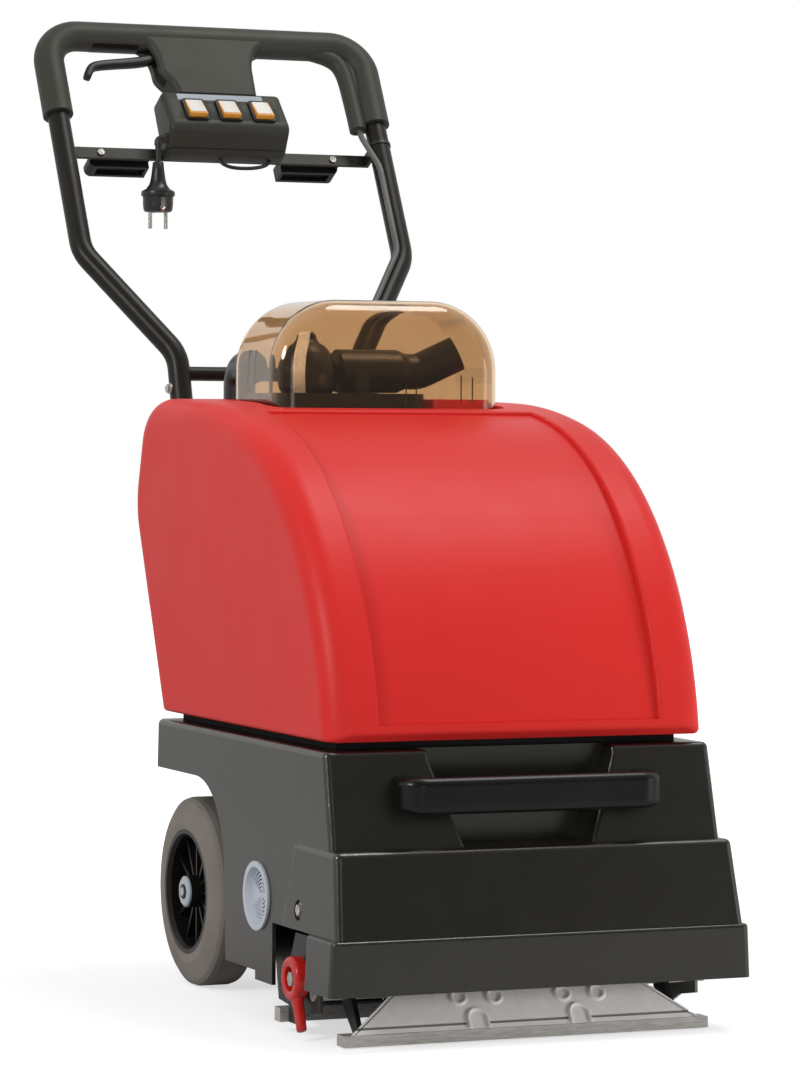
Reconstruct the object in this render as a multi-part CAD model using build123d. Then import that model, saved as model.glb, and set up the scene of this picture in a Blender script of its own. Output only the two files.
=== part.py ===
"""Carpet extractor: base on two wheels, tank hood with clear dome, folding tube handle with controls."""

from build123d import *
from math import atan2, degrees, hypot, sqrt
import os

os.makedirs("parts", exist_ok=True)

# Millimetres. x runs across (right in front view), y back from the front skirt, z up from the floor.
# Clearances shared by the fits.
RUN = 0.05
GAP = 0.4

# Base housing: three steps at the front, each given by its half width and front face.
WALL = 4.0
MAIN_HALF = 208.0
SKIRT_HALF = MAIN_HALF + 15.6
SKIRT_TOP_HALF = MAIN_HALF + 13.0
SKIRT_Z = 54.0
SKIRT_TOP = 107.0
SKIRT_REAR = 72.0
MID_HALF = MAIN_HALF + 8.0
MID_TOP_HALF = MAIN_HALF + 3.0
MID_FRONT = 2.0
MID_TOP_FRONT = 20.0
MID_TOP = 189.0
MID_REAR = 150.0
MID_TOP_REAR = 130.0
MAIN_Z = 51.0
MAIN_FRONT = 39.0
DECK_HALF = MAIN_HALF - 2.0
DECK_FRONT = 62.0
DECK_Z = 282.0
BASE_REAR = 542.0
NOTCH_REAR = 193.0
NOTCH_TOP = 104.0
TAB_Z = 42.0
TAB_REAR = 240.0

# Wheels and axle.
AXLE_Y = 508.0
AXLE_R = 10.0
WHEEL_R = 100.0
RIM_R = 66.0
RIM_FACE = MAIN_HALF - 22.0
TYRE_FACE = RIM_FACE - 6.0
TYRE_BACK = RIM_FACE - 50.0
HUB_R = 17.0
HUB_FACE = RIM_FACE - 2.0
WELL_X = MAIN_HALF - 84.0
ARCH_TOP = 231.0
ARCH_FRONT = 321.0

# Tank hood and dome.
HOOD_Z = 290.0
HOOD_HALF = MAIN_HALF - 6.0
HOOD_ROUND = 26.0
PANEL_HALF = HOOD_HALF - 52.0
HOOD_WALL = 12.0
SEAT_Z = 612.0
DOME_HALF = 128.0
DOME_FRONT = 394.0
DOME_REAR = 536.0
DOME_TOP = 726.0
DOME_ROUND = 74.0
DOME_EDGE = 24.0
DOME_WALL = 3.0
PORT_R = 30.0
PORT_Y = 400.0

# Handle: lower pivot, two bends, then a straight upper part that leans back.
PIVOT_Y = 624.0
PIVOT_Z = 232.0
TUBE_R = 12.5
TUBE_WALL = 2.0
LOW_HALF = 110.0
LOW_BEND_Y = 750.0
LOW_BEND_Z = 672.0
TOP_HALF = 196.0
TOP_BEND_Y = 830.0
TOP_BEND_Z = 788.0
GRIP_Y = 970.0
GRIP_Z = 1043.0
GRIP_R = 17.5
GRIP_BEND = 40.0
TUBE_BEND = 48.0
PIVOT_R = 5.0

# Brush, its drive and the nozzle.
BRUSH_Y = 235.0
BRUSH_Z = 40.0
BRUSH_R = 40.0
CORE_R = 22.0
PLATE_X = MAIN_HALF - 38.0
BRUSH_HALF = PLATE_X - 7.0
PLATE_T = 4.0
MOTOR_Y = 190.0
MOTOR_Z = 150.0
BELT_X = PLATE_X + 14.0
BELT_W = 10.0
BELT_T = 3.0
BRUSH_PULLEY_R = 24.0
MOTOR_PULLEY_R = 14.0
SHAFT_R = 6.0
NOZZLE_HALF = MAIN_HALF - 14.0
TUBE_Y = 92.0
TUBE_Z = 46.0
PIVOT_TUBE_R = 7.0

# The whole length sets the origin under the middle of the machine.
LENGTH = GRIP_Y + GRIP_R


def save(name, shape):
    """Write one piece, moved so that the middle of the footprint is the origin."""
    export_step(Pos(0, -LENGTH / 2, 0) * shape, f"parts/{name}.step")


def slab(x0, x1, y0, y1, z0, z1):
    """Block between two corners."""
    return Pos((x0 + x1) / 2, (y0 + y1) / 2, (z0 + z1) / 2) * Box(x1 - x0, y1 - y0, z1 - z0)


def rod(start, end, radius):
    """Round bar between two points."""
    run = Vector(*end) - Vector(*start)
    return Part() + Solid.make_cylinder(radius, run.length, Plane(Vector(*start), z_dir=run))


def both(shape):
    """The shape and its mirror image across the middle plane."""
    return shape + mirror(shape, about=Plane.YZ)


def side_cut(face, x0, x1):
    """Profile drawn in y and z, run across from x0 to x1."""
    return extrude(Plane(origin=(x0, 0, 0), x_dir=(0, 1, 0), z_dir=(1, 0, 0)) * face, amount=x1 - x0)


def tier(low, top, corner, edge=0.0):
    """Block between two outlines of (z, half width, front, rear), rounded at its corners and top edge."""
    rims = []
    for z, half, front, rear in (low, top):
        rims.append(Pos(0, (front + rear) / 2, z) * RectangleRounded(2 * half, rear - front, corner))
    block = loft(rims)
    if edge > 0:
        block = fillet(block.faces().sort_by(Axis.Z)[-1].edges(), edge)
    return block


def hose(points, bends, radius):
    """Round section along straight runs joined by tangent arcs."""
    path = FilletPolyline(*points, radius=bends)
    return sweep(Plane(origin=path @ 0, z_dir=path % 0) * Circle(radius), path=path)


# Base housing: a moulded shell, open below, with a wheel well at each rear corner and a finger
# recess behind the carry handle.
def arch(grow):
    """Side outline of a wheel well, grown outwards."""
    top = ARCH_TOP + grow
    front = ARCH_FRONT - grow
    rear = BASE_REAR + 158
    rim = FilletPolyline((front, -20), (front + 14, top), (rear, top), radius=88)
    return make_face(rim + Polyline((rear, top), (rear, -20), (front, -20)))


RECESS_HALF = 98.0
RECESS_FOOT = 68.0
RECESS_Z = MID_TOP


def recess(grow):
    """Finger recess in the front of the upper step, open at the top."""
    over = DECK_Z + 30
    half = RECESS_HALF + grow
    foot = RECESS_FOOT + grow
    low = RECESS_Z - grow
    sides = ((half + 1, over), (half, DECK_Z - 10), (foot, low), (-foot, low), (-half, DECK_Z - 10))
    outline = Polyline(*sides, (-half - 1, over), close=True)
    plane = Plane(origin=(0, 20, 0), x_dir=(1, 0, 0), z_dir=(0, -1, 0))
    return extrude(plane * make_face(outline), amount=-64 - grow)


def step_face(z):
    """Front face of the upper step at a height."""
    return MAIN_FRONT + (DECK_FRONT - MAIN_FRONT) * (z - MID_TOP) / (DECK_Z - MID_TOP)


CORNER = 7.0
EDGE = 6.0
SKIRT_EDGE = 3.5
step = (MID_TOP, MAIN_HALF, MAIN_FRONT, BASE_REAR)
shell = tier((MAIN_Z, MAIN_HALF, MAIN_FRONT, BASE_REAR), step, CORNER)
shell += tier(step, (DECK_Z, DECK_HALF, DECK_FRONT, BASE_REAR), CORNER, EDGE)
middle_top = (MID_TOP, MID_TOP_HALF, MID_TOP_FRONT, MID_TOP_REAR)
shell += tier((SKIRT_TOP, MID_HALF, MID_FRONT, MID_REAR), middle_top, CORNER, EDGE)
skirt_top = (SKIRT_TOP, SKIRT_TOP_HALF, 0, SKIRT_REAR)
shell += tier((SKIRT_Z, SKIRT_HALF, 0, SKIRT_REAR), skirt_top, CORNER, SKIRT_EDGE)
shell += both(slab(MAIN_HALF - WALL, MAIN_HALF, NOTCH_REAR, TAB_REAR, TAB_Z, MAIN_Z))
shell -= both(slab(WELL_X, SKIRT_HALF, SKIRT_REAR, NOTCH_REAR, 0, NOTCH_TOP))
hollow = tier((0, MAIN_HALF - WALL, MAIN_FRONT + WALL, BASE_REAR - WALL),
              (MID_TOP, MAIN_HALF - WALL, MAIN_FRONT + WALL, BASE_REAR - WALL), CORNER - WALL)
hollow += tier((MID_TOP, MAIN_HALF - WALL, MAIN_FRONT + WALL, BASE_REAR - WALL),
               (DECK_Z - WALL, DECK_HALF - WALL, DECK_FRONT + WALL, BASE_REAR - WALL), CORNER - WALL)
hollow += tier((0, MID_HALF - WALL - 1, MID_FRONT + WALL + 2, MID_REAR - WALL),
               (MID_TOP - WALL, MID_TOP_HALF - WALL - 1, MID_TOP_FRONT + WALL + 2, MID_TOP_REAR - WALL),
               CORNER - WALL)
hollow += slab(WALL + 1 - SKIRT_HALF, SKIRT_TOP_HALF - WALL, WALL + 1, SKIRT_REAR - WALL, 0, SKIRT_TOP - WALL)
wells = both(side_cut(arch(0), WELL_X, MAIN_HALF + 20))
hollow -= both(side_cut(arch(WALL), WELL_X - WALL, MAIN_HALF + 20)) + recess(WALL)
shell = shell - hollow - wells - recess(0)
RECESS_EDGE = 4.0
mouth = [e for e in shell.edges() if abs(e.center().X) < RECESS_HALF + 6 and e.center().Z > RECESS_Z + 3]
mouth = [e for e in mouth if abs(e.center().Y - step_face(e.center().Z)) < 3 and e.center().Z < DECK_Z - 1]
shell = fillet(mouth, RECESS_EDGE)
shell -= slab(-WELL_X - 1, WELL_X + 1, AXLE_Y - AXLE_R - 2, AXLE_Y + AXLE_R + 2, 0, WHEEL_R)
shell -= rod((-WELL_X - 1, AXLE_Y, WHEEL_R), (WELL_X + 1, AXLE_Y, WHEEL_R), AXLE_R + 2)
shell -= Pos(0, PORT_Y, DECK_Z) * Cylinder(PORT_R, 3 * WALL)
VENT_Y = 235.0
VENT_Z = 126.0
VENT_R = 34.5
VENT_HOLE = 31.0
shell -= rod((-MAIN_HALF - 9, VENT_Y, VENT_Z), (MAIN_HALF + 9, VENT_Y, VENT_Z), VENT_HOLE)
BOLT_Y = 106.0
BOLT_Z = 126.0
BOLT_SEAT = MID_TOP_HALF - 1.0
WASHER_R = 9.0
shell -= both(rod((BOLT_SEAT, BOLT_Y, BOLT_Z), (BOLT_SEAT + 20, BOLT_Y, BOLT_Z), WASHER_R + 1))
save("base_housing", shell)

# Side vents: light dished discs with rings of slots, let into the side walls.
VENT_FLANGE = 2.4
vent = rod((MAIN_HALF, VENT_Y, VENT_Z), (MAIN_HALF + VENT_FLANGE, VENT_Y, VENT_Z), VENT_R)
vent += rod((MAIN_HALF - 10, VENT_Y, VENT_Z), (MAIN_HALF, VENT_Y, VENT_Z), VENT_HOLE)
dish_floor = Plane((MAIN_HALF - 5, VENT_Y, VENT_Z), z_dir=(1, 0, 0))
vent -= Part() + Solid.make_cone(VENT_HOLE - 5, VENT_HOLE - 2, 8, dish_floor)
for turn in range(2):
    for row in range(6):
        reach = 5 + 3.7 * row
        slot = Plane(origin=(MAIN_HALF, VENT_Y, VENT_Z), x_dir=(0, 1, 0), z_dir=(1, 0, 0))
        middle = slot * Rot(0, 0, 180 * turn) * SlotArc(CenterArc((0, 0), reach, 30, 120), 1.9)
        vent -= extrude(middle, amount=-12) + extrude(middle, amount=4)
vent += slab(MAIN_HALF - 10, MAIN_HALF - 5, VENT_Y - 1.2, VENT_Y + 1.2, VENT_Z - 26, VENT_Z + 26)
save("vent_left", mirror(vent, about=Plane.YZ))
save("vent_right", vent)

# Side bolts: hexagon heads on washers, one on each side of the middle step.
bolt = rod((BOLT_SEAT, BOLT_Y, BOLT_Z), (BOLT_SEAT + 1.6, BOLT_Y, BOLT_Z), WASHER_R)
head = Plane(origin=(BOLT_SEAT + 1.6, BOLT_Y, BOLT_Z), x_dir=(0, 1, 0), z_dir=(1, 0, 0))
bolt += extrude(head * RegularPolygon(6, 6), amount=4)
save("side_bolts", both(bolt))

# Front carry handle: a bowed bar whose ends turn back onto the upper step.
CARRY_HALF = 140.0
CARRY_Z = 222.0
CARRY_TOP = 258.0
CARRY_FRONT = 17.0
CARRY_DEEP = 18.0
outline = FilletPolyline((-CARRY_HALF, 80), (-CARRY_HALF, CARRY_FRONT), (CARRY_HALF, CARRY_FRONT),
                         (CARRY_HALF, 80), radius=26)
inner = CARRY_HALF - 26
hand = FilletPolyline((inner, 80), (inner, CARRY_FRONT + CARRY_DEEP), (-inner, CARRY_FRONT + CARRY_DEEP),
                      (-inner, 80), radius=12)
ends = Line((-inner, 80), (-CARRY_HALF, 80)) + Line((CARRY_HALF, 80), (inner, 80))
carry = Pos(0, 0, CARRY_Z) * extrude(make_face(outline + hand + ends), amount=CARRY_TOP - CARRY_Z)
rims = [e for e in carry.edges() if e.center().Z < CARRY_Z + 1 or e.center().Z > CARRY_TOP - 1]
carry = fillet([e for e in rims if e.center().Y < 79], 8.5)
wedge = Polyline((step_face(150), 150), (step_face(330), 330), (300, 330), (300, 150), close=True)
carry -= side_cut(make_face(wedge), -300, 300)
save("carry_handle", carry)

# Floor plate: folded sheet between the wheel wells, wider at the front, with lugs for the axle.
PAN_Z = 60.0
PAN_T = 3.0
PAN_FRONT = 272.0
PAN_STEP = 312.0
pan = slab(WALL - WELL_X, WELL_X - WALL, PAN_STEP, BASE_REAR - WALL, PAN_Z, PAN_Z + PAN_T)
pan += slab(-PLATE_X - PLATE_T, PLATE_X + PLATE_T, PAN_FRONT, PAN_STEP, PAN_Z, PAN_Z + PAN_T)
LUG_X = WELL_X - 24.0
for side in (-1, 1):
    lug = slab(side * LUG_X - 3, side * LUG_X + 3, AXLE_Y - 22, AXLE_Y + 22, PAN_Z + PAN_T, WHEEL_R + 18)
    pan += lug
pan -= rod((-LUG_X - 9, AXLE_Y, WHEEL_R), (LUG_X + 9, AXLE_Y, WHEEL_R), AXLE_R)
save("floor_plate", pan)

# Axle: plain bar through both lugs, carrying a wheel at each end.
AXLE_END = HUB_FACE - GAP
save("axle", rod((-AXLE_END, AXLE_Y, WHEEL_R), (AXLE_END, AXLE_Y, WHEEL_R), AXLE_R))


# Wheels: solid rubber tyre on a dished black rim with ribs, and a light cap over the axle end.
def wheel_plane(x):
    """Plane across the wheel axis at x."""
    return Plane(origin=(x, AXLE_Y, WHEEL_R), x_dir=(0, 1, 0), z_dir=(1, 0, 0))


def turned(points):
    """Ring turned about the wheel axis from (x, radius) points."""
    face = make_face(Polyline(*points, close=True))
    plane = Plane(origin=(0, AXLE_Y, WHEEL_R), x_dir=(1, 0, 0), z_dir=(0, -1, 0))
    return revolve(plane * face, axis=Axis((0, AXLE_Y, WHEEL_R), (1, 0, 0)), revolution_arc=360)


tyre = turned(((TYRE_BACK, RIM_R), (TYRE_BACK, WHEEL_R - 6), (TYRE_BACK + 3, WHEEL_R - 1.5),
               (TYRE_BACK + 8, WHEEL_R), (TYRE_FACE - 8, WHEEL_R), (TYRE_FACE - 3, WHEEL_R - 1.5),
               (TYRE_FACE, WHEEL_R - 6), (TYRE_FACE + 2.5, WHEEL_R - 15), (RIM_FACE - 1, RIM_R + 9),
               (RIM_FACE - 1, RIM_R)))
DISH = 26.0
rim = turned(((TYRE_BACK + 1, RIM_R - 7), (TYRE_BACK + 1, RIM_R), (RIM_FACE - 1, RIM_R),
              (RIM_FACE - 1, RIM_R - 5), (RIM_FACE - 6, RIM_R - 7)))
rim += turned(((RIM_FACE - DISH - 4, HUB_R - 2), (RIM_FACE - DISH - 4, RIM_R - 6),
               (RIM_FACE - DISH, RIM_R - 6), (RIM_FACE - DISH, HUB_R - 2)))
rim += turned(((TYRE_BACK + 1, AXLE_R + RUN), (TYRE_BACK + 1, HUB_R), (HUB_FACE, HUB_R),
               (HUB_FACE, AXLE_R + RUN)))
for spoke in range(12):
    rib = wheel_plane(RIM_FACE - DISH) * Rot(0, 0, 30 * spoke) * Pos((HUB_R + RIM_R) / 2 - 3, 0) * Rectangle(
        RIM_R - HUB_R - 4, 3)
    rim += extrude(rib, amount=13)
CAP_R = 16.0
cap = turned(((HUB_FACE, 0.0), (HUB_FACE, CAP_R), (HUB_FACE + 2, CAP_R), (HUB_FACE + 3.5, CAP_R - 2),
              (HUB_FACE + 3.5, 8.0), (HUB_FACE + 2.5, 7.5), (HUB_FACE + 2.5, 5.0), (HUB_FACE + 5.5, 4.5),
              (HUB_FACE + 5.5, 0.0)))
for name, piece in (("tyre", tyre), ("rim", rim), ("hub_cap", cap)):
    save(f"{name}_left", mirror(piece, about=Plane.YZ))
    save(f"{name}_right", piece)

# Brush end plates: steel cheeks standing on the floor plate, carrying the brush, its motor and the skid bar.
SKID_Y0 = 160.0
SKID_Y1 = 175.0
SKID_Z0 = 10.0
SKID_Z1 = 24.0
cheek = make_face(Polyline((SKID_Y1, SKID_Z0), (262, 18), (PAN_FRONT, PAN_Z + PAN_T),
                           (PAN_STEP, PAN_Z + PAN_T), (PAN_STEP, 110), (262, 200), (140, 200), (140, 96),
                           (SKID_Y1, 70), close=True))
cheeks = both(side_cut(cheek, PLATE_X, PLATE_X + PLATE_T))
STUB_R = 8.0
cheeks -= rod((-PLATE_X - 9, BRUSH_Y, BRUSH_Z), (PLATE_X + 9, BRUSH_Y, BRUSH_Z), STUB_R + RUN)
cheeks -= rod((PLATE_X - 9, MOTOR_Y, MOTOR_Z), (PLATE_X + 9, MOTOR_Y, MOTOR_Z), SHAFT_R + 2)
save("brush_end_plates", cheeks)

# Skid bar: square steel bar across the front of the brush, its bright ends seen at both sides.
SKID_HALF = MAIN_HALF + 4.0
save("skid_bar", slab(-SKID_HALF, SKID_HALF, SKID_Y0, SKID_Y1, SKID_Z0, SKID_Z1))

# Brush: a core with stub ends in the end plates, rows of bristle around it and a belt pulley on the right.
core = rod((-BRUSH_HALF, BRUSH_Y, BRUSH_Z), (BRUSH_HALF, BRUSH_Y, BRUSH_Z), CORE_R)
core += rod((-PLATE_X - PLATE_T, BRUSH_Y, BRUSH_Z), (BELT_X - BELT_W / 2 - 2, BRUSH_Y, BRUSH_Z), STUB_R)
save("brush_core", core)
tufts = Part()
for row in range(10):
    tuft = slab(4 - BRUSH_HALF, BRUSH_HALF - 4, -3.5, 3.5, CORE_R - 1, BRUSH_R)
    tufts += Pos(0, BRUSH_Y, BRUSH_Z) * (Rot(36 * row, 0, 0) * tuft)
tufts += rod((4 - BRUSH_HALF, BRUSH_Y, BRUSH_Z), (BRUSH_HALF - 4, BRUSH_Y, BRUSH_Z), CORE_R + 5)
tufts -= rod((-BRUSH_HALF, BRUSH_Y, BRUSH_Z), (BRUSH_HALF, BRUSH_Y, BRUSH_Z), CORE_R)
tufts &= rod((-BRUSH_HALF, BRUSH_Y, BRUSH_Z), (BRUSH_HALF, BRUSH_Y, BRUSH_Z), BRUSH_R)
save("brush_bristles", tufts)


def pulley(y, z, radius):
    """Flat belt pulley with two rims."""
    half = BELT_W / 2 + 2
    wheel = rod((BELT_X - half, y, z), (BELT_X + half, y, z), radius)
    wheel += rod((BELT_X - half, y, z), (BELT_X - half + 1.5, y, z), radius + 2)
    return wheel + rod((BELT_X + half - 1.5, y, z), (BELT_X + half, y, z), radius + 2)


save("brush_pulley", pulley(BRUSH_Y, BRUSH_Z, BRUSH_PULLEY_R))
drive = pulley(MOTOR_Y, MOTOR_Z, MOTOR_PULLEY_R)
drive += rod((PLATE_X + PLATE_T - 10, MOTOR_Y, MOTOR_Z), (BELT_X, MOTOR_Y, MOTOR_Z), SHAFT_R)
save("motor_pulley", drive)

# Brush motor: finned can held by the right end plate, with its shaft in the plate.
MOTOR_R = 42.0
can = rod((-20, MOTOR_Y, MOTOR_Z), (PLATE_X, MOTOR_Y, MOTOR_Z), MOTOR_R)
for fin in range(9):
    can += rod((10 + 14 * fin, MOTOR_Y, MOTOR_Z), (14 + 14 * fin, MOTOR_Y, MOTOR_Z), MOTOR_R + 3)
can -= rod((PLATE_X - 12, MOTOR_Y, MOTOR_Z), (PLATE_X + 1, MOTOR_Y, MOTOR_Z), SHAFT_R + RUN)
save("brush_motor", can)


# Drive belt: flat loop round both pulleys.
def loop(grow):
    """Outline round the two pulleys, grown outwards."""
    run = hypot(MOTOR_Y - BRUSH_Y, MOTOR_Z - BRUSH_Z)
    big = BRUSH_PULLEY_R + grow
    small = MOTOR_PULLEY_R + grow
    lean = degrees(atan2(MOTOR_Z - BRUSH_Z, MOTOR_Y - BRUSH_Y))
    off = (big - small) / run
    up = sqrt(1 - off * off)
    web = Polyline((big * off, big * up), (run + small * off, small * up), (run + small * off, -small * up),
                   (big * off, -big * up), close=True)
    shape = make_face(web) + Circle(big) + Pos(run, 0) * Circle(small)
    return Pos(BRUSH_Y, BRUSH_Z) * Rot(0, 0, lean) * shape


save("drive_belt", side_cut(loop(GAP + BELT_T) - loop(GAP), BELT_X - BELT_W / 2 + 1, BELT_X + BELT_W / 2 - 1))

# Vacuum motor: two-stage can on the floor plate, its inlet under the port in the deck.
VAC_R = 68.0
VAC_Z = PAN_Z + PAN_T
neck_z = VAC_Z + 152
vacuum = rod((0, PORT_Y, VAC_Z), (0, PORT_Y, VAC_Z + 92), VAC_R)
vacuum += rod((0, PORT_Y, VAC_Z + 92), (0, PORT_Y, neck_z), VAC_R - 10)
vacuum += rod((0, PORT_Y, neck_z), (0, PORT_Y, DECK_Z - WALL), PORT_R - 4)
vacuum -= rod((0, PORT_Y, neck_z), (0, PORT_Y, DECK_Z), PORT_R - 9)
save("vacuum_motor", vacuum)

# Solution pump: small block with a round head, beside the vacuum motor.
PUMP_X = WELL_X - 29.0
PUMP_Y = 314.0
PUMP_HIGH = 46.0
pump_mid = PAN_Z + PAN_T + PUMP_HIGH / 2
pump = slab(PUMP_X - 19, PUMP_X + 19, PUMP_Y, PUMP_Y + 32, PAN_Z + PAN_T, PAN_Z + PAN_T + PUMP_HIGH)
pump += rod((PUMP_X, PUMP_Y, pump_mid), (PUMP_X, PUMP_Y - 22, pump_mid), 17)
save("solution_pump", pump)

# Spray bar: square tube across behind the nozzle with four jets, held by the end plates.
spray = slab(-PLATE_X, PLATE_X, 141, 153, 104, 116)
for jet in range(4):
    spray += rod((-120 + 80 * jet, 147, 104), (-120 + 80 * jet, 147, 92), 5)
save("spray_bar", spray)

# Deck seals: a foam frame under the hood and a ring round the vacuum port.
SEAL_HALF = HOOD_HALF - 20.0
SEAL_FRONT = DECK_FRONT + 30.0
SEAL_REAR = BASE_REAR - 16.0
SEAL_WIDE = 10.0
frame = slab(-SEAL_HALF, SEAL_HALF, SEAL_FRONT, SEAL_REAR, DECK_Z, HOOD_Z)
frame -= slab(SEAL_WIDE - SEAL_HALF, SEAL_HALF - SEAL_WIDE, SEAL_FRONT + SEAL_WIDE, SEAL_REAR - SEAL_WIDE,
              DECK_Z, HOOD_Z)
frame += Pos(0, PORT_Y, (DECK_Z + HOOD_Z) / 2) * (Cylinder(PORT_R + 9, HOOD_Z - DECK_Z)
                                                   - Cylinder(PORT_R, HOOD_Z - DECK_Z))
save("deck_seals", frame)

# Side brackets: plates in the side notches, carrying the nozzle pivot tube and, at the left, the lever.
LEVER_Y = 118.0
LEVER_Z = 58.0
LEVER_BOLT_R = 5.0
BRACKET_X = MAIN_HALF - 8.0
BRACKET_T = 3.0
plate = make_face(Polyline((SKID_Y0, SKID_Z0), (SKID_Y0, 66), (142, 100), (80, 100), (76, 30), (112, 24),
                           (140, SKID_Z0), close=True))
brackets = both(side_cut(plate, BRACKET_X, BRACKET_X + BRACKET_T))
brackets -= both(slab(BRACKET_X - 1, BRACKET_X + BRACKET_T + 1, 94, 108, 82, 94))
brackets -= rod((-240, TUBE_Y, TUBE_Z), (240, TUBE_Y, TUBE_Z), PIVOT_TUBE_R)
brackets -= rod((-240, LEVER_Y, LEVER_Z), (0, LEVER_Y, LEVER_Z), LEVER_BOLT_R)
save("side_brackets", brackets)

# Nozzle pivot tube: steel tube across both brackets.
TUBE_LEFT = (3 - MAIN_HALF, TUBE_Y, TUBE_Z)
TUBE_RIGHT = (MAIN_HALF + 8, TUBE_Y, TUBE_Z)
pivot = rod(TUBE_LEFT, TUBE_RIGHT, PIVOT_TUBE_R)
save("nozzle_pivot_tube", pivot - rod(TUBE_LEFT, TUBE_RIGHT, PIVOT_TUBE_R - 1.5))

# Nozzle shoe: cast front plate that widens to the lip, two raised arches, four round bosses and a hollow slot
# behind, hung on the pivot tube by two cheeks.
LIP_Z = 1.0
LIP_TOP = 12.0
LIP_Y0 = 36.0
LIP_Y1 = 52.0
SHOE_LOW = NOZZLE_HALF - 8.0
SHOE_HIGH = NOZZLE_HALF - 82.0
SHOE_TOP = 62.0
SLOPE = Vector(0, 34, SHOE_TOP - LIP_TOP)
SHOE_LONG = SLOPE.length
shoe_plane = Plane(origin=(0, LIP_Y0 + 4, LIP_TOP), x_dir=(1, 0, 0), z_dir=(0, -(SHOE_TOP - LIP_TOP), 34))
trapeze = Polyline((-SHOE_LOW, 0), (SHOE_LOW, 0), (SHOE_HIGH, SHOE_LONG), (-SHOE_HIGH, SHOE_LONG), close=True)
shoe = extrude(shoe_plane * make_face(trapeze), amount=-14)
slot = Polyline((7 - SHOE_LOW, -30), (SHOE_LOW - 7, -30), (SHOE_HIGH - 6, SHOE_LONG - 6),
                (6 - SHOE_HIGH, SHOE_LONG - 6), close=True)
shoe -= extrude(shoe_plane * Pos(0, 0, -5) * make_face(slot), amount=-5)
for x in (-52, 56):
    foot_line = shoe_plane * Pos(x, 0)
    ring = Rectangle(26, 32, align=(Align.CENTER, Align.MIN)) + Pos(0, 19) * Circle(13)
    shoe += extrude(foot_line * ring, amount=3.5)
    hole = Rectangle(17, 19, align=(Align.CENTER, Align.MIN)) + Pos(0, 19) * Circle(8.5)
    shoe -= extrude(foot_line * hole, amount=5) + extrude(foot_line * hole, amount=-2.5)
for x in (-60, -20, 50, 90):
    shoe += extrude(shoe_plane * Pos(x, 36) * Circle(9.5), amount=2.5)
    shoe -= extrude(shoe_plane * Pos(x, 36) * Circle(6.5), amount=2.5)
shoe -= slab(-300, 300, 0, 200, -50, LIP_TOP)
shoe -= slab(-300, 300, 0, 200, SHOE_TOP, SHOE_TOP + 60)
save("nozzle_shoe", shoe)

# Nozzle lip: machined strip along the foot of the shoe with a suction slot through it.
lip = slab(-NOZZLE_HALF, NOZZLE_HALF, LIP_Y0, LIP_Y1 + 4, LIP_Z, LIP_TOP)
lip -= slab(7 - SHOE_LOW, SHOE_LOW - 7, LIP_Y0 + 9, LIP_Y0 + 15, LIP_Z, LIP_TOP)
save("nozzle_lip", lip)

# Nozzle cheeks: plates from the back of the shoe to rings on the pivot tube.
arm = make_face(Polyline((LIP_Y1 + 4, LIP_Z + 2), (LIP_Y1 + 4, LIP_TOP), (LIP_Y1 + 5, 30),
                         (TUBE_Y - 8, TUBE_Z + 10), (TUBE_Y + 8, TUBE_Z + 10), (TUBE_Y + 10, TUBE_Z - 10),
                         (LIP_Y1 + 20, LIP_Z + 8), close=True))
cheek_x = SHOE_LOW - 20
cheek_pair = both(side_cut(arm, cheek_x, cheek_x + 5))
cheek_pair -= rod((-240, TUBE_Y, TUBE_Z), (240, TUBE_Y, TUBE_Z), PIVOT_TUBE_R + RUN)
cheek_pair -= extrude(shoe_plane * Rectangle(600, 300), amount=-14)
save("nozzle_cheeks", cheek_pair)

# Height lever: red moulded hub with a recessed bolt and a straight arm reaching down and forward.
LEVER_IN = BRACKET_X + BRACKET_T + 3
LEVER_OUT = MAIN_HALF + 12.0
HUB = 22.0
lever = rod((-LEVER_IN, LEVER_Y, LEVER_Z), (-LEVER_OUT, LEVER_Y, LEVER_Z), HUB)
grip_run = Vector(0, -19, -46)
swing = Plane(origin=(-LEVER_OUT + 2, LEVER_Y, LEVER_Z), x_dir=grip_run, z_dir=(1, 0, 0))
lever += extrude(swing * Pos(18, 0) * Rectangle(35, 11, align=(Align.MIN, Align.CENTER)), amount=9)
lever -= rod((-LEVER_OUT + 6, LEVER_Y, LEVER_Z), (-LEVER_OUT - 1, LEVER_Y, LEVER_Z), 12)
lever -= rod((-240, LEVER_Y, LEVER_Z), (0, LEVER_Y, LEVER_Z), LEVER_BOLT_R + RUN)
save("height_lever", lever)
stud = rod((-LEVER_OUT + 5.5, LEVER_Y, LEVER_Z), (-BRACKET_X + 6, LEVER_Y, LEVER_Z), LEVER_BOLT_R)
stud_head = Plane(origin=(-LEVER_OUT + 5.5, LEVER_Y, LEVER_Z), x_dir=(0, 1, 0), z_dir=(-1, 0, 0))
stud += extrude(stud_head * RegularPolygon(7.5, 6), amount=4)
stud += rod((-BRACKET_X + 1, LEVER_Y, LEVER_Z), (-BRACKET_X + 6, LEVER_Y, LEVER_Z), 8)
stud += rod((-LEVER_IN + RUN, LEVER_Y, LEVER_Z), (-BRACKET_X - BRACKET_T, LEVER_Y, LEVER_Z), 9)
save("lever_bolt", stud)

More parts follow.
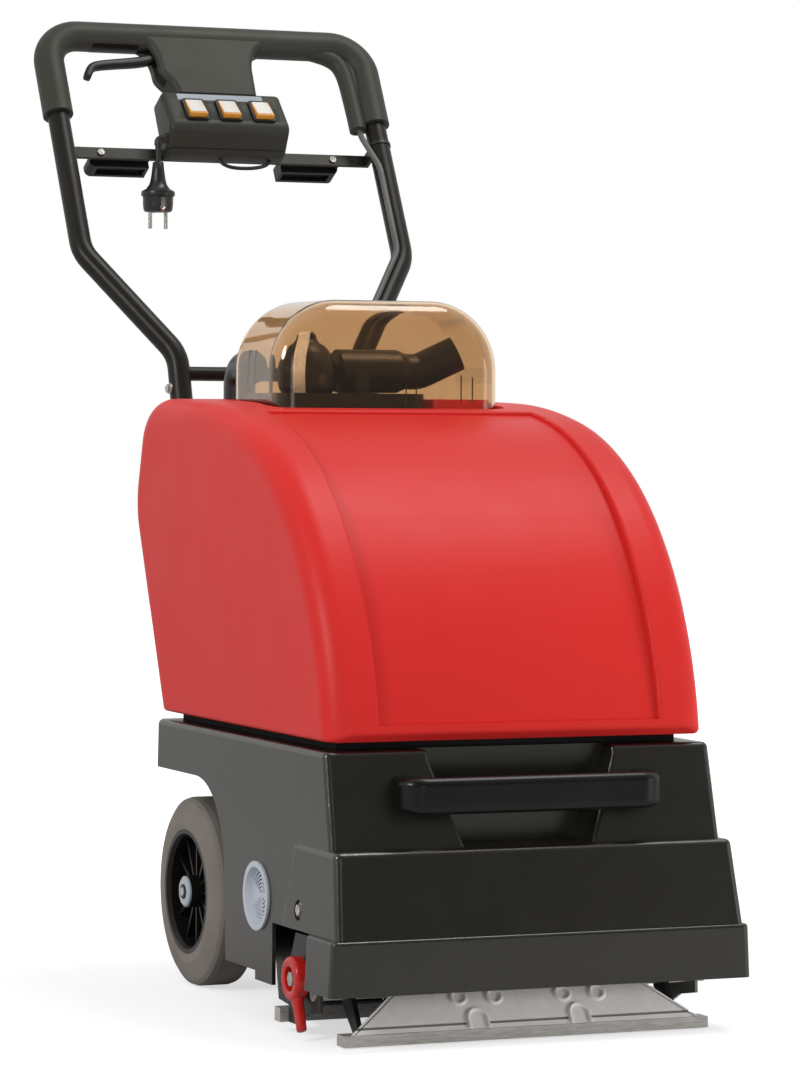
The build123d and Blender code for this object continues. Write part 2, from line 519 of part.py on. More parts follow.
# Tank hood: one moulded shell; two raised bands at the sides run up the front and over the top, with the
# front panel sunk between them. Both outlines are chains of arcs, each given by its radius and turn.
BAND_FOOT = (57, 298)
BAND_LEAN = 82.3
BAND_ARCS = ((375, 34.75), (331.4, 34.2), (737, 11.8))
PANEL_FOOT = (64, 306)
PANEL_LEAN = 78.8
PANEL_ARCS = ((400.9, 32.7), (323.9, 34.1), (1946, 1.1))
PANEL_EDGE = 3.0
SOLE_EDGE = 5.0
HOOD_TOP_RUN = 142.0
HOOD_BULGE = (646, 505)
HOOD_HEEL = (557, 298)


def bow(start, lean, arcs):
    """Chain of tangent arcs from a start point and lean; gives the line, its end and its heading there."""
    line = Curve()
    heading = Vector(1, 0, 0).rotate(Axis.Z, lean)
    for radius, turn in arcs:
        arc = JernArc(start, heading, radius, -turn)
        line += arc
        start = arc @ 1
        heading = arc % 1
    return line, start, heading


brow, crest, heading = bow(BAND_FOOT, BAND_LEAN, BAND_ARCS)
brow += FilletPolyline(crest, crest + heading * HOOD_TOP_RUN, HOOD_BULGE, HOOD_HEEL, radius=[58, 90])
sole = Polyline(HOOD_HEEL, (HOOD_HEEL[0] - 6, HOOD_Z), (BAND_FOOT[0] + 9, HOOD_Z), BAND_FOOT)
side = make_face(brow + sole)


def hood_block(face, half, bend):
    """Side outline run across, with its long edges rounded."""
    block = side_cut(face, -half, half)
    return fillet([e for e in block.edges() if abs(abs(e.center().X) - half) < 0.5
                   and e.center().Z > HOOD_Z + 20], bend)


block = hood_block(side, HOOD_HALF, HOOD_ROUND)
block = fillet([e for e in block.edges() if e.center().Z < HOOD_Z + 9], SOLE_EDGE)
panel_line, rise, heading = bow(PANEL_FOOT, PANEL_LEAN, PANEL_ARCS)
PANEL_TOP = SEAT_Z + 88.0
shelf_line = Polyline(rise, (rise.X - 2, PANEL_TOP), (20, PANEL_TOP), (20, PANEL_FOOT[1]), PANEL_FOOT)
front_cut = make_face(panel_line + shelf_line)
hood = block - side_cut(front_cut, -PANEL_HALF, PANEL_HALF)
lips = [e for e in hood.edges() if abs(abs(e.center().X) - PANEL_HALF) < 0.2]
lips = [e for e in lips if e.bounding_box().size.X < 0.2]
lips = [e for e in lips if min(f.distance_to(e @ 0.5) for f in block.faces()) < 1]
shelf = [e for e in hood.edges() if e.length > PANEL_HALF and abs(e.center().Y - rise.X) < 6]
hood = fillet(lips + [max(shelf, key=lambda e: e.center().Z)], PANEL_EDGE)
inside = offset(side, amount=-HOOD_WALL, kind=Kind.INTERSECTION)
hood -= hood_block(inside, HOOD_HALF - HOOD_WALL, HOOD_ROUND - HOOD_WALL)
POCKET = 6.0
seat = RectangleRounded(2 * (DOME_HALF + POCKET), DOME_REAR - DOME_FRONT + 2 * POCKET, 20)
hood -= extrude(Pos(0, (DOME_FRONT + DOME_REAR) / 2, SEAT_Z) * seat, amount=60)
hood -= slab(56, 124, 412, 518, SEAT_Z - 60, SEAT_Z)
FLOOR_HALF = HOOD_HALF - 22.0
bottom = slab(-FLOOR_HALF, FLOOR_HALF, SEAL_FRONT - 2, SEAL_REAR + 4, HOOD_Z, HOOD_Z + HOOD_WALL)
save("hood_tank", hood - bottom)
save("hood_floor", bottom - Pos(0, PORT_Y, HOOD_Z) * Cylinder(PORT_R, 60))


# Dome: smoked clear cover, loaf shaped, standing in the pocket on top of the hood.
def loaf(inset):
    """Front outline of the dome run back, with its end edges rounded."""
    half = DOME_HALF - inset
    top = DOME_TOP - inset
    bend = DOME_ROUND - inset
    line = FilletPolyline((-half, SEAT_Z), (-half, top), (half, top), (half, SEAT_Z), radius=bend)
    face = make_face(line + Line((half, SEAT_Z), (-half, SEAT_Z)))
    plane = Plane(origin=(0, DOME_FRONT + inset, 0), x_dir=(1, 0, 0), z_dir=(0, -1, 0))
    body = extrude(plane * face, amount=-(DOME_REAR - DOME_FRONT - 2 * inset))
    middle = (DOME_FRONT + DOME_REAR) / 2
    reach = (DOME_REAR - DOME_FRONT) / 2 - inset
    ends = [e for e in body.edges() if e.center().Z > SEAT_Z + 1]
    ends = [e for e in ends if abs(abs(e.center().Y - middle) - reach) < 0.5]
    return fillet(ends, DOME_EDGE - inset)


save("dome_lid", loaf(0) - loaf(DOME_WALL))

# Under the dome: a strainer tray, the float body with its strap, the inlet pipe and the elbow that empties
# into the tank.
TRAY_TOP = 628.0
FLOAT_X = -68.0
FLOW_Y = 465.0
FLOW_Z = 652.0
tray = slab(-118, 48, 408, 522, SEAT_Z, TRAY_TOP)
save("strainer_tray", fillet(tray.edges().filter_by(Axis.Z), 16))
FLOAT_R = 33.0
float_line = Polyline((0, 0), (FLOAT_R - 6, 0), (FLOAT_R - 2, 6), (FLOAT_R, 20)) + Spline(
    (FLOAT_R, 20), (FLOAT_R - 5, 38), (14, 53), tangents=((0, 1), (-1, 0.4)))
float_line += Polyline((14, 53), (11, 57), (10, 62), (4, 64), (0, 64), (0, 0))
float_plane = Plane(origin=(FLOAT_X, FLOW_Y, TRAY_TOP), x_dir=(1, 0, 0), z_dir=(0, -1, 0))
float_axis = Axis((FLOAT_X, FLOW_Y, 0), (0, 0, 1))
ball = revolve(float_plane * make_face(float_line), axis=float_axis, revolution_arc=360)
save("float_body", ball)
PIPE_R = 23.0
saddle = slab(-22, -6, 440, 490, TRAY_TOP, FLOW_Z)
duct = rod((-34, FLOW_Y, FLOW_Z), (6, FLOW_Y, FLOW_Z), PIPE_R) + saddle
save("inlet_pipe", duct - (Part() + ball))
mouth = hose(((30, FLOW_Y, FLOW_Z), (60, FLOW_Y, FLOW_Z), (100, FLOW_Y - 12, FLOW_Z + 20)), 24, 19)
mouth += rod((6, FLOW_Y, FLOW_Z), (34, FLOW_Y, FLOW_Z), PIPE_R)
mouth += Part() + Solid.make_cone(PIPE_R, 19, 10, Plane((34, FLOW_Y, FLOW_Z), z_dir=(1, 0, 0)))
mouth -= hose(((50, FLOW_Y, FLOW_Z), (60, FLOW_Y, FLOW_Z), (104, FLOW_Y - 13.2, FLOW_Z + 22)), 12, 16)
save("inlet_elbow", mouth)

# Hose elbow: black bend that comes up behind the dome and points at its rear wall.
BEND_X = 28.0 - DOME_HALF
BEND_Y = DOME_REAR + 41.0
BEND_TOP = SEAT_Z + 44.0
bend_line = ((BEND_X, BEND_Y, SEAT_Z - 2), (BEND_X, BEND_Y, BEND_TOP), (BEND_X, DOME_REAR + 2, BEND_TOP))
elbow = hose(bend_line, 21, 18)
save("hose_elbow", elbow - block)

# Handle tube: one bent tube from the left pivot up, round the grip and down to the right pivot.
low_run = Vector(0, LOW_BEND_Y - PIVOT_Y, LOW_BEND_Z - PIVOT_Z).normalized()
foot = Vector(LOW_HALF, PIVOT_Y, PIVOT_Z) - low_run * 26
right_side = [(TOP_HALF, GRIP_Y, GRIP_Z), (TOP_HALF, TOP_BEND_Y, TOP_BEND_Z),
              (LOW_HALF, LOW_BEND_Y, LOW_BEND_Z), (LOW_HALF, foot.Y, foot.Z)]
left_side = [(-x, y, z) for x, y, z in reversed(right_side)]
BENDS = [TUBE_BEND, TUBE_BEND, GRIP_BEND, GRIP_BEND, TUBE_BEND, TUBE_BEND]
tube_solid = hose(left_side + right_side, BENDS, TUBE_R)
tube = tube_solid - hose(left_side + right_side, BENDS, TUBE_R - TUBE_WALL)
tube -= rod((-300, PIVOT_Y, PIVOT_Z), (300, PIVOT_Y, PIVOT_Z), PIVOT_R + RUN)
save("handle_tube", tube)

# Handle bracket: folded plate on the rear wall with two pairs of lugs, and a pivot bolt through each pair.
LUG_GAP = TUBE_R + 1.0
LUG_T = 4.0
bracket = slab(-LOW_HALF - 22, LOW_HALF + 22, BASE_REAR, BASE_REAR + 4, PIVOT_Z - 82, PIVOT_Z + 44)
lug_side = make_face(Polyline((BASE_REAR + 4, PIVOT_Z - 56), (PIVOT_Y - 4, PIVOT_Z - 16),
                              (PIVOT_Y + 14, PIVOT_Z - 10), (PIVOT_Y + 14, PIVOT_Z + 10),
                              (PIVOT_Y - 4, PIVOT_Z + 16), (BASE_REAR + 4, PIVOT_Z + 36), close=True))
for near in (LOW_HALF - LUG_GAP - LUG_T, LOW_HALF + LUG_GAP):
    bracket += both(side_cut(lug_side, near, near + LUG_T))
bracket -= rod((-300, PIVOT_Y, PIVOT_Z), (300, PIVOT_Y, PIVOT_Z), PIVOT_R)
save("handle_bracket", bracket)
reach = LUG_GAP + LUG_T
pins = rod((LOW_HALF - reach - 7, PIVOT_Y, PIVOT_Z), (LOW_HALF + reach + 7, PIVOT_Y, PIVOT_Z), PIVOT_R)
pins += rod((LOW_HALF + reach, PIVOT_Y, PIVOT_Z), (LOW_HALF + reach + 7, PIVOT_Y, PIVOT_Z), 9)
pins += rod((LOW_HALF - reach - 7, PIVOT_Y, PIVOT_Z), (LOW_HALF - reach, PIVOT_Y, PIVOT_Z), 9)
save("handle_pivot_bolts", both(pins))

# Lower cross rod: round bar between the two sides just below the lower bends.
ROD_DROP = 22.0
spot = Vector(0, LOW_BEND_Y, LOW_BEND_Z) - low_run * ROD_DROP
stay = rod((-LOW_HALF, spot.Y, spot.Z), (LOW_HALF, spot.Y, spot.Z), 8) - tube_solid
save("cross_rod", max(stay.solids(), key=lambda s: s.volume))

# Upper handle frame: local x across, y up along the leaning tubes, z out of their plane towards the front.
lean_run = Vector(0, GRIP_Y - TOP_BEND_Y, GRIP_Z - TOP_BEND_Z)
GRIP_S = lean_run.length
UPPER = Plane(origin=(0, TOP_BEND_Y, TOP_BEND_Z), x_dir=(1, 0, 0),
              z_dir=Vector(1, 0, 0).cross(lean_run.normalized()))


def place(shape):
    """Move a piece drawn in the upper handle frame into place."""
    return UPPER.location * shape


# Grip: two moulded halves round the tube, with a neck that runs down to the control box.
LEG_S = 181.0
NECK_S = 212.0
NECK_HALF = 50.0
NECK_BACK = -16.0
PANEL_TOP_N = 12.0
grip_line = ((-TOP_HALF, LEG_S), (-TOP_HALF, GRIP_S), (TOP_HALF, GRIP_S), (TOP_HALF, LEG_S))
sleeve = hose([(x, s, 0) for x, s in grip_line], GRIP_BEND, GRIP_R)
under = GRIP_S - GRIP_R + 2
FLARE = 76.0
LOBE = 67.0
LOBE_S = 246.0
WING = FLARE + 10
foot = under - 28
throat = Bezier((NECK_HALF, foot), (NECK_HALF + 1, under - 8), (FLARE - 14, under + 5), (FLARE, under + 7))
throat += Polyline((FLARE, under + 7), (FLARE, GRIP_S + 4), (-WING, GRIP_S + 4), (-WING, under + 6))
throat += Bezier((-WING, under + 6), (-LOBE - 8, under + 4), (-LOBE, under - 8), (-LOBE, LOBE_S))
throat += Bezier((-LOBE, LOBE_S), (-LOBE, LOBE_S - 14), (-NECK_HALF - 2, LOBE_S - 16), (-NECK_HALF, NECK_S))
throat += Polyline((-NECK_HALF, NECK_S), (NECK_HALF, NECK_S), (NECK_HALF, foot))
throat = make_face(throat)
neck = Pos(0, 0, NECK_BACK) * extrude(throat, amount=GRIP_R - 1 - NECK_BACK)
slope_cut = Polyline((GRIP_S, GRIP_R - 1), (NECK_S - 1, PANEL_TOP_N), (NECK_S - 1, 60), (GRIP_S, 60),
                     close=True)
neck -= side_cut(make_face(slope_cut), -200, 200)
NECK_EDGE = 7.0
rims = [e for e in neck.edges() if NECK_HALF - 5 < abs(e.center().X) < FLARE + 5 and e.center().Z > 8]
neck = fillet([e for e in rims if e.center().Y < under + 1 and e.length > 20], NECK_EDGE)
moulding = sleeve + neck
RIDGE_R = 8.0
RIDGE_X = TOP_HALF - GRIP_R - 3
RIDGE_TOP = GRIP_S - 24
moulding += rod((RIDGE_X, LEG_S - 6, 0), (RIDGE_X - 9, RIDGE_TOP, 0), RIDGE_R)
web = Polyline((RIDGE_X, LEG_S), (TOP_HALF - 10, LEG_S), (TOP_HALF - 10, RIDGE_TOP), (RIDGE_X - 9, RIDGE_TOP),
               close=True)
moulding += extrude(make_face(web), amount=RIDGE_R - 0.5, both=True)
tube_line = ((-TOP_HALF, 0), (-TOP_HALF, GRIP_S), (TOP_HALF, GRIP_S), (TOP_HALF, 0))
moulding -= hose([(x, s, 0) for x, s in tube_line], GRIP_BEND, TUBE_R + RUN)
CABLE_R = 3.5
moulding -= rod((RIDGE_X, LEG_S - 10, 0), (RIDGE_X, LEG_S + 12, 0), CABLE_R + RUN)
TRIGGER_X = -56.0
TRIGGER_S = GRIP_S - TUBE_R - 9
TRIGGER_HALF = 6.0
PIN_R = 3.0
TRIGGER_SLOT = TRIGGER_HALF + 0.6
moulding -= slab(-140, TRIGGER_X + 9, TRIGGER_S - 40, GRIP_S - TUBE_R - 0.6, -TRIGGER_SLOT, TRIGGER_SLOT)
moulding -= rod((TRIGGER_X, TRIGGER_S, -11.2), (TRIGGER_X, TRIGGER_S, 11.2), PIN_R + RUN)
save("grip_front", place(moulding & slab(-400, 400, 0, 500, 0, 80)))
save("grip_rear", place(moulding & slab(-400, 400, 0, 500, -80, 0)))

# Pump lever: a bent finger lever under the left side of the grip, turning on stub pins in the neck.
ARM_S = GRIP_S - 39.0
arm_line = FilletPolyline((TRIGGER_X, TRIGGER_S), (TRIGGER_X - 10, ARM_S), (-140, ARM_S), (-154, ARM_S - 15),
                          radius=[4.5, 7])
finger = extrude(trace(arm_line, 7.5), amount=TRIGGER_HALF, both=True)
finger += rod((TRIGGER_X, TRIGGER_S, -TRIGGER_HALF), (TRIGGER_X, TRIGGER_S, TRIGGER_HALF), 6)
finger += rod((TRIGGER_X, TRIGGER_S, -11), (TRIGGER_X, TRIGGER_S, 11), PIN_R)
save("pump_lever", place(finger))

# Crossbar: flat strip behind the tubes with a pad at each end, and two bolts that also hold the cord hooks.
BAR_S = 147.0
BAR_HIGH = 14.0
BAR_N = -22.0
BAR_T = 4.0
BOLT_X = 143.6
bar = slab(7 - TOP_HALF, TOP_HALF - 7, BAR_S - BAR_HIGH / 2, BAR_S + BAR_HIGH / 2, BAR_N - BAR_T, BAR_N)
for side in (-1, 1):
    pad = side * (TOP_HALF - 9)
    bar += slab(pad - 2, pad + 2, BAR_S - BAR_HIGH / 2, BAR_S + BAR_HIGH / 2, BAR_N, 0)
bar -= rod((-TOP_HALF, 0, 0), (-TOP_HALF, 400, 0), TUBE_R) + rod((TOP_HALF, 0, 0), (TOP_HALF, 400, 0), TUBE_R)
bar -= both(rod((BOLT_X, BAR_S, BAR_N - 20), (BOLT_X, BAR_S, BAR_N + 9), 3))
save("crossbar", place(max(bar.solids(), key=lambda s: s.volume)))
screw = rod((BOLT_X, BAR_S, BAR_N - BAR_T - 12), (BOLT_X, BAR_S, BAR_N), 3)
screw += rod((BOLT_X, BAR_S, BAR_N), (BOLT_X, BAR_S, BAR_N + 2), 4)
save("crossbar_bolts", place(both(screw)))

# Cord hooks: shallow moulded trays behind the crossbar, rounded at the outer end and open below.
HOOK_OUT = 154.0
HOOK_LOW = BAR_S - 10.0
HOOK_N = BAR_N - BAR_T
hook = slab(82, HOOK_OUT, HOOK_LOW, BAR_S + BAR_HIGH / 2, HOOK_N - 32, HOOK_N)
corners = [e for e in hook.edges().filter_by(Axis.Z) if e.center().X > HOOK_OUT - 1]
hook = fillet(corners, 7)
hook -= slab(80, 160, HOOK_LOW, BAR_S - 3, HOOK_N - 10, HOOK_N)
hook -= slab(86, HOOK_OUT - 10, HOOK_LOW, BAR_S - 5, HOOK_N - 28, HOOK_N - 14)
hook -= rod((BOLT_X, BAR_S, HOOK_N - 12), (BOLT_X, BAR_S, HOOK_N), 3)
save("hook_right", place(hook))
save("hook_left", place(mirror(hook, about=Plane.YZ)))

# Control box: hollow moulding with a sloping switch panel, closed below by a cover.
BOX_X = 3.0
BOX_HALF = 74.0
BOX_LOW = 136.0
COVER_S = 143.0
PANEL_LOW_S = 157.0
PANEL_LOW_N = 28.0
box_line = Polyline((BOX_LOW, BAR_N), (BOX_LOW, -4), (PANEL_LOW_S, PANEL_LOW_N), (NECK_S, PANEL_TOP_N),
                    (NECK_S, BAR_N), close=True)
LOCAL = Plane(origin=(0, 0, 0), x_dir=(0, 1, 0), z_dir=(1, 0, 0))
box_face = make_face(box_line)
BOX_TOE = 11.0
BOX_BROW = 9.0
BOX_END_EDGE = 5.8
box_face = fillet([v for v in box_face.vertices() if abs(v.Y + 4) < 0.1], BOX_TOE)
box_face = fillet([v for v in box_face.vertices() if abs(v.Y - PANEL_LOW_N) < 0.1], BOX_BROW)
case = extrude(LOCAL * box_face, amount=BOX_HALF, both=True)
ends = [e for e in case.edges() if abs(abs(e.center().X) - BOX_HALF) < 0.1 and e.center().Z > BAR_N + 1]
case = fillet([e for e in ends if e.center().Y < NECK_S - 1 and e.center().Y > BOX_LOW + 1], BOX_END_EDGE)
case -= extrude(LOCAL * offset(box_face, amount=-3, kind=Kind.INTERSECTION), amount=BOX_HALF - 4, both=True)
run = Vector(0, NECK_S - PANEL_LOW_S, PANEL_TOP_N - PANEL_LOW_N)
mid = Vector(0, (NECK_S + PANEL_LOW_S) / 2 - 3, (PANEL_LOW_N + PANEL_TOP_N) / 2 + 3 * 15 / 55)
SWITCH = Plane(origin=mid, x_dir=(1, 0, 0), z_dir=Vector(1, 0, 0).cross(run))
PITCH = 41.0
KEY_WIDE = 21.0
KEY_HIGH = 28.0
KEY_X = 2.0
for spot in (KEY_X - PITCH, KEY_X, KEY_X + PITCH):
    window = SWITCH * Pos(spot, 0) * Rectangle(KEY_WIDE + 1.2, KEY_HIGH + 1.6)
    case -= extrude(window, amount=9, both=True)
LEAD_S = 152.0
LEAD_N = 6.0
LEAD_R = 3.6
case -= rod((-BOX_HALF - 5, LEAD_S, LEAD_N), (4 - BOX_HALF, LEAD_S, LEAD_N), LEAD_R + RUN)
case = Pos(BOX_X, 0, 0) * case
save("control_box", place(case & slab(-200, 200, COVER_S, 400, -200, 200)))
save("box_cover", place(case & slab(-200, 200, 0, COVER_S, -200, 200)))

# Rocker switches: three keys, each turning on its own cross axis in the panel.
KEY_DEEP = 7.0
KEY_PROUD = 8.5
key_line = Polyline((-KEY_HIGH / 2, KEY_PROUD), (KEY_HIGH / 2, 3.2), (KEY_HIGH / 2, -2), (9, -KEY_DEEP),
                    (-9, -KEY_DEEP), (-KEY_HIGH / 2, -2), close=True)
for name, spot in (("left", KEY_X - PITCH), ("middle", KEY_X), ("right", KEY_X + PITCH)):
    edge = SWITCH * Pos(BOX_X + spot, 0, 0)
    key_plane = Plane(origin=edge.position, x_dir=run, z_dir=(1, 0, 0))
    save(f"rocker_{name}", place(extrude(key_plane * make_face(key_line), amount=KEY_WIDE / 2, both=True)))

# Mains lead: short cable out of the left end of the box, turning down into the moulded plug.
BOX_END = BOX_X - BOX_HALF
lead_out = place(Vertex(BOX_END, LEAD_S, LEAD_N)).center()
LEAD_OUT = 10.5
LEAD_DROP = 28.0
DROP_X = BOX_END - LEAD_OUT
route = ((BOX_END + 4, lead_out.Y, lead_out.Z), (DROP_X, lead_out.Y, lead_out.Z),
         (DROP_X, lead_out.Y, lead_out.Z - LEAD_DROP))
LEAD_BEND = 0.45 * LEAD_OUT
save("mains_cord", hose(route, LEAD_BEND, LEAD_R))
PLUG_TOP = lead_out.Z - LEAD_DROP
PLUG_LONG = 58.0
plug_line = Polyline((0, 0), (6.2, 0), (7.6, -12), (9.2, -24), (11, -29), (17.4, -36), (19.5, -38),
                     (19.5, -43), (18, -45), (18, 2 - PLUG_LONG), (16, -PLUG_LONG), (0, -PLUG_LONG),
                     close=True)
plug_plane = Plane(origin=(DROP_X, lead_out.Y, PLUG_TOP), x_dir=(1, 0, 0), z_dir=(0, -1, 0))
plug_axis = Axis((DROP_X, lead_out.Y, 0), (0, 0, 1))
plug = revolve(plug_plane * make_face(plug_line), axis=plug_axis, revolution_arc=360)
EARTH_Y = 14.5
for side in (-1, 1):
    near = lead_out.Y + side * EARTH_Y
    far = lead_out.Y + side * 30
    plug -= slab(DROP_X - 4, DROP_X + 4, min(near, far), max(near, far), PLUG_TOP - PLUG_LONG, PLUG_TOP - 46)
save("plug_body", plug)
PLUG_PIN_R = 2.4
PLUG_PIN_LONG = 19.0
foot_z = PLUG_TOP - PLUG_LONG
prongs = Part()
for side in (-1, 1):
    x = DROP_X + side * 9.5
    prongs += rod((x, lead_out.Y, foot_z), (x, lead_out.Y, foot_z - PLUG_PIN_LONG), PLUG_PIN_R)
    near = lead_out.Y + side * EARTH_Y
    far = lead_out.Y + side * (EARTH_Y + 1.2)
    prongs += slab(DROP_X - 2.5, DROP_X + 2.5, min(near, far), max(near, far), foot_z, PLUG_TOP - 46)
save("plug_pins", prongs)

# Control cable: grey cable out of the ridge on the right leg, then down the front of the right tube.
HUG = TUBE_R + CABLE_R + 0.4
top_point = place(Vertex(RIDGE_X, LEG_S + 12, 0)).center()
leave_point = place(Vertex(RIDGE_X, LEG_S - 14, 0)).center()
down = lean_run.normalized() * -1
inward = Vector(LOW_HALF - TOP_HALF, LOW_BEND_Y - TOP_BEND_Y, LOW_BEND_Z - TOP_BEND_Z).normalized()
hinge_dir = down.cross(inward).normalized()
upper_out = hinge_dir.cross(down)
lower_out = hinge_dir.cross(inward)
HUG_TURN = -50.0
seat_run = (Vector(-1, 0, 0).rotate(Axis((0, 0, 0), down), HUG_TURN)) * HUG
over = hinge_dir * seat_run.dot(hinge_dir)
depth = seat_run.dot(upper_out)
corner = Vector(TOP_HALF, TOP_BEND_Y, TOP_BEND_Z)
side_point = place(Vertex(TOP_HALF, 118, 0)).center() + seat_run
elbow_point = corner + over + (upper_out + lower_out) * (depth / (1 + upper_out.dot(lower_out)))
end_point = corner + over + lower_out * depth + inward * 118
cable_route = [tuple(p) for p in (top_point, leave_point, side_point, elbow_point, end_point)]
save("control_cable", hose(cable_route, [40, 60, TUBE_BEND - depth], CABLE_R))
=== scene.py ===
"""Carpet extractor dressed for the studio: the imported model, its finishes and the small pieces it lacks."""

import bmesh
import bpy
import numpy as np
from mathutils import Matrix, Vector


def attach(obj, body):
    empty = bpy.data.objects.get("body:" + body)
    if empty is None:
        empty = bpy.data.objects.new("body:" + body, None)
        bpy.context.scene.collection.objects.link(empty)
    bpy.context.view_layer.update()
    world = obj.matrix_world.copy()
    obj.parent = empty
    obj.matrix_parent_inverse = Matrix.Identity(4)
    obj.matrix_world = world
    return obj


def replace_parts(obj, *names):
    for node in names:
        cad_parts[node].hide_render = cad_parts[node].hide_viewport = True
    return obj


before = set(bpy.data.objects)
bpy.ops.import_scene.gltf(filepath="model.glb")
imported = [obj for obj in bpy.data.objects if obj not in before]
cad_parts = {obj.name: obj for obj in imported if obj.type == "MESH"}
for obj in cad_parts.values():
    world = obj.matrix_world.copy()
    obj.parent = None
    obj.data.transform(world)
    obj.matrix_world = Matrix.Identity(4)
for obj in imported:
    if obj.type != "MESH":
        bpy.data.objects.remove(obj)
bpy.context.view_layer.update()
scene = bpy.context.scene
scene.view_settings.view_transform = "Standard"

# Camera: a long lens in front of the machine and to its left, about as high as the top of the hood,
# looking a little down with a slight roll.
STAND = (-1.66410, -4.07731, 0.59734)
YAW, PITCH, ROLL = -0.3985953, 0.0268854, 0.0057626
LENS_PIXELS, PICTURE_WIDTH, SENSOR = 4113, 800, 36
behind = Vector((np.sin(YAW) * np.cos(PITCH), -np.cos(YAW) * np.cos(PITCH), np.sin(PITCH)))
level = (-behind).cross(Vector((0, 0, 1))).normalized()
rise = level.cross(-behind)
right = level * np.cos(ROLL) + rise * np.sin(ROLL)
top = rise * np.cos(ROLL) - level * np.sin(ROLL)
lens = bpy.data.cameras.new("studio_camera")
lens.sensor_fit = "HORIZONTAL"
lens.sensor_width = SENSOR
lens.lens = LENS_PIXELS / PICTURE_WIDTH * SENSOR
lens.clip_end = 60
camera = bpy.data.objects.new("studio_camera", lens)
camera.matrix_world = Matrix.Translation(STAND) @ Matrix((right, top, behind)).transposed().to_4x4()
scene.collection.objects.link(camera)
scene.camera = camera


# Studio: a wide pale floor in a white room that is dimmer towards the camera. The floor keeps the machine's
# shadow near the wheels and runs out to plain white. Soft lamps stand at the left, above, in front, low at the
# right, and close to the floor, where the base doesn't mirror it.
def node(tree, kind, **values):
    """New shader node with plain values set on its inputs, each named, or numbered as _0 and _1."""
    made = tree.nodes.new("ShaderNode" + kind)
    for key, value in values.items():
        if key == "operation":
            made.operation = value
        else:
            made.inputs[int(key[1:]) if key[0] == "_" else key.replace("_", " ")].default_value = value
    return made


def join(tree, *pairs):
    """Link each output to its input."""
    for source, target in pairs:
        tree.links.new(source, target)


TO_CAMERA = (-0.25, -0.97, 0.0)
room = bpy.data.worlds.new("white_room")
room.use_nodes = True
room.cycles.sampling_method = "NONE"
scene.world = room
tree = room.node_tree
sky = tree.nodes["Background"]
sky.inputs["Color"].default_value = (1, 1, 1, 1)
path = node(tree, "LightPath")
where = node(tree, "TexCoord")
facing = node(tree, "VectorMath", operation="DOT_PRODUCT", _1=TO_CAMERA)
dim = node(tree, "MapRange", From_Min=0.0, From_Max=0.8, To_Min=0.35, To_Max=-0.4)
gloss = node(tree, "Math", operation="MULTIPLY_ADD", _2=0.5)
seen = node(tree, "Math", operation="MAXIMUM")
total = node(tree, "Math", operation="MULTIPLY_ADD", _1=0.5)
join(tree, (where.outputs["Generated"], facing.inputs[0]), (facing.outputs["Value"], dim.inputs["Value"]),
     (path.outputs["Is Glossy Ray"], gloss.inputs[0]), (dim.outputs["Result"], gloss.inputs[1]),
     (path.outputs["Is Camera Ray"], seen.inputs[0]), (path.outputs["Is Transmission Ray"], seen.inputs[1]),
     (seen.outputs[0], total.inputs[0]), (gloss.outputs[0], total.inputs[2]),
     (total.outputs[0], sky.inputs["Strength"]))

FLOOR_REACH, FLOOR_SIDES, FLOOR_DROP = 9.0, 96, 0.0004
floor_mesh = bpy.data.meshes.new("studio_floor")
turn = np.linspace(0, 2 * np.pi, FLOOR_SIDES, endpoint=False)
edge = np.stack([FLOOR_REACH * np.cos(turn), FLOOR_REACH * np.sin(turn), 0 * turn - FLOOR_DROP], -1)
floor_mesh.from_pydata(edge.tolist(), [], [list(range(FLOOR_SIDES))])
floor = bpy.data.objects.new("studio_floor", floor_mesh)
scene.collection.objects.link(floor)
pale = bpy.data.materials.new("pale_floor")
pale.use_nodes = True
tree = pale.node_tree
tree.nodes.remove(tree.nodes["Principled BSDF"])
matt = node(tree, "BsdfDiffuse", Color=(0.55, 0.55, 0.55, 1))
glow = node(tree, "Emission")
path = node(tree, "LightPath")
where = node(tree, "TexCoord")
away = node(tree, "VectorMath", operation="LENGTH")
fade = node(tree, "MapRange", From_Min=0.5, From_Max=1.6, To_Min=0.62, To_Max=1.0)
seen = node(tree, "Math", operation="MULTIPLY_ADD", _1=0.45)
gloss = node(tree, "Math", operation="MULTIPLY", _1=0.2)
both = node(tree, "Math", operation="MAXIMUM")
shown = node(tree, "Math", operation="MULTIPLY")
sheet = node(tree, "AddShader")
join(tree, (where.outputs["Object"], away.inputs[0]), (away.outputs["Value"], fade.inputs["Value"]),
     (path.outputs["Is Transmission Ray"], seen.inputs[0]), (path.outputs["Is Camera Ray"], seen.inputs[2]),
     (path.outputs["Is Glossy Ray"], gloss.inputs[0]), (seen.outputs[0], both.inputs[0]),
     (gloss.outputs[0], both.inputs[1]), (fade.outputs["Result"], shown.inputs[0]),
     (both.outputs[0], shown.inputs[1]), (shown.outputs[0], glow.inputs["Strength"]),
     (matt.outputs[0], sheet.inputs[0]), (glow.outputs[0], sheet.inputs[1]),
     (sheet.outputs[0], tree.nodes["Material Output"].inputs["Surface"]))
floor_mesh.materials.append(pale)

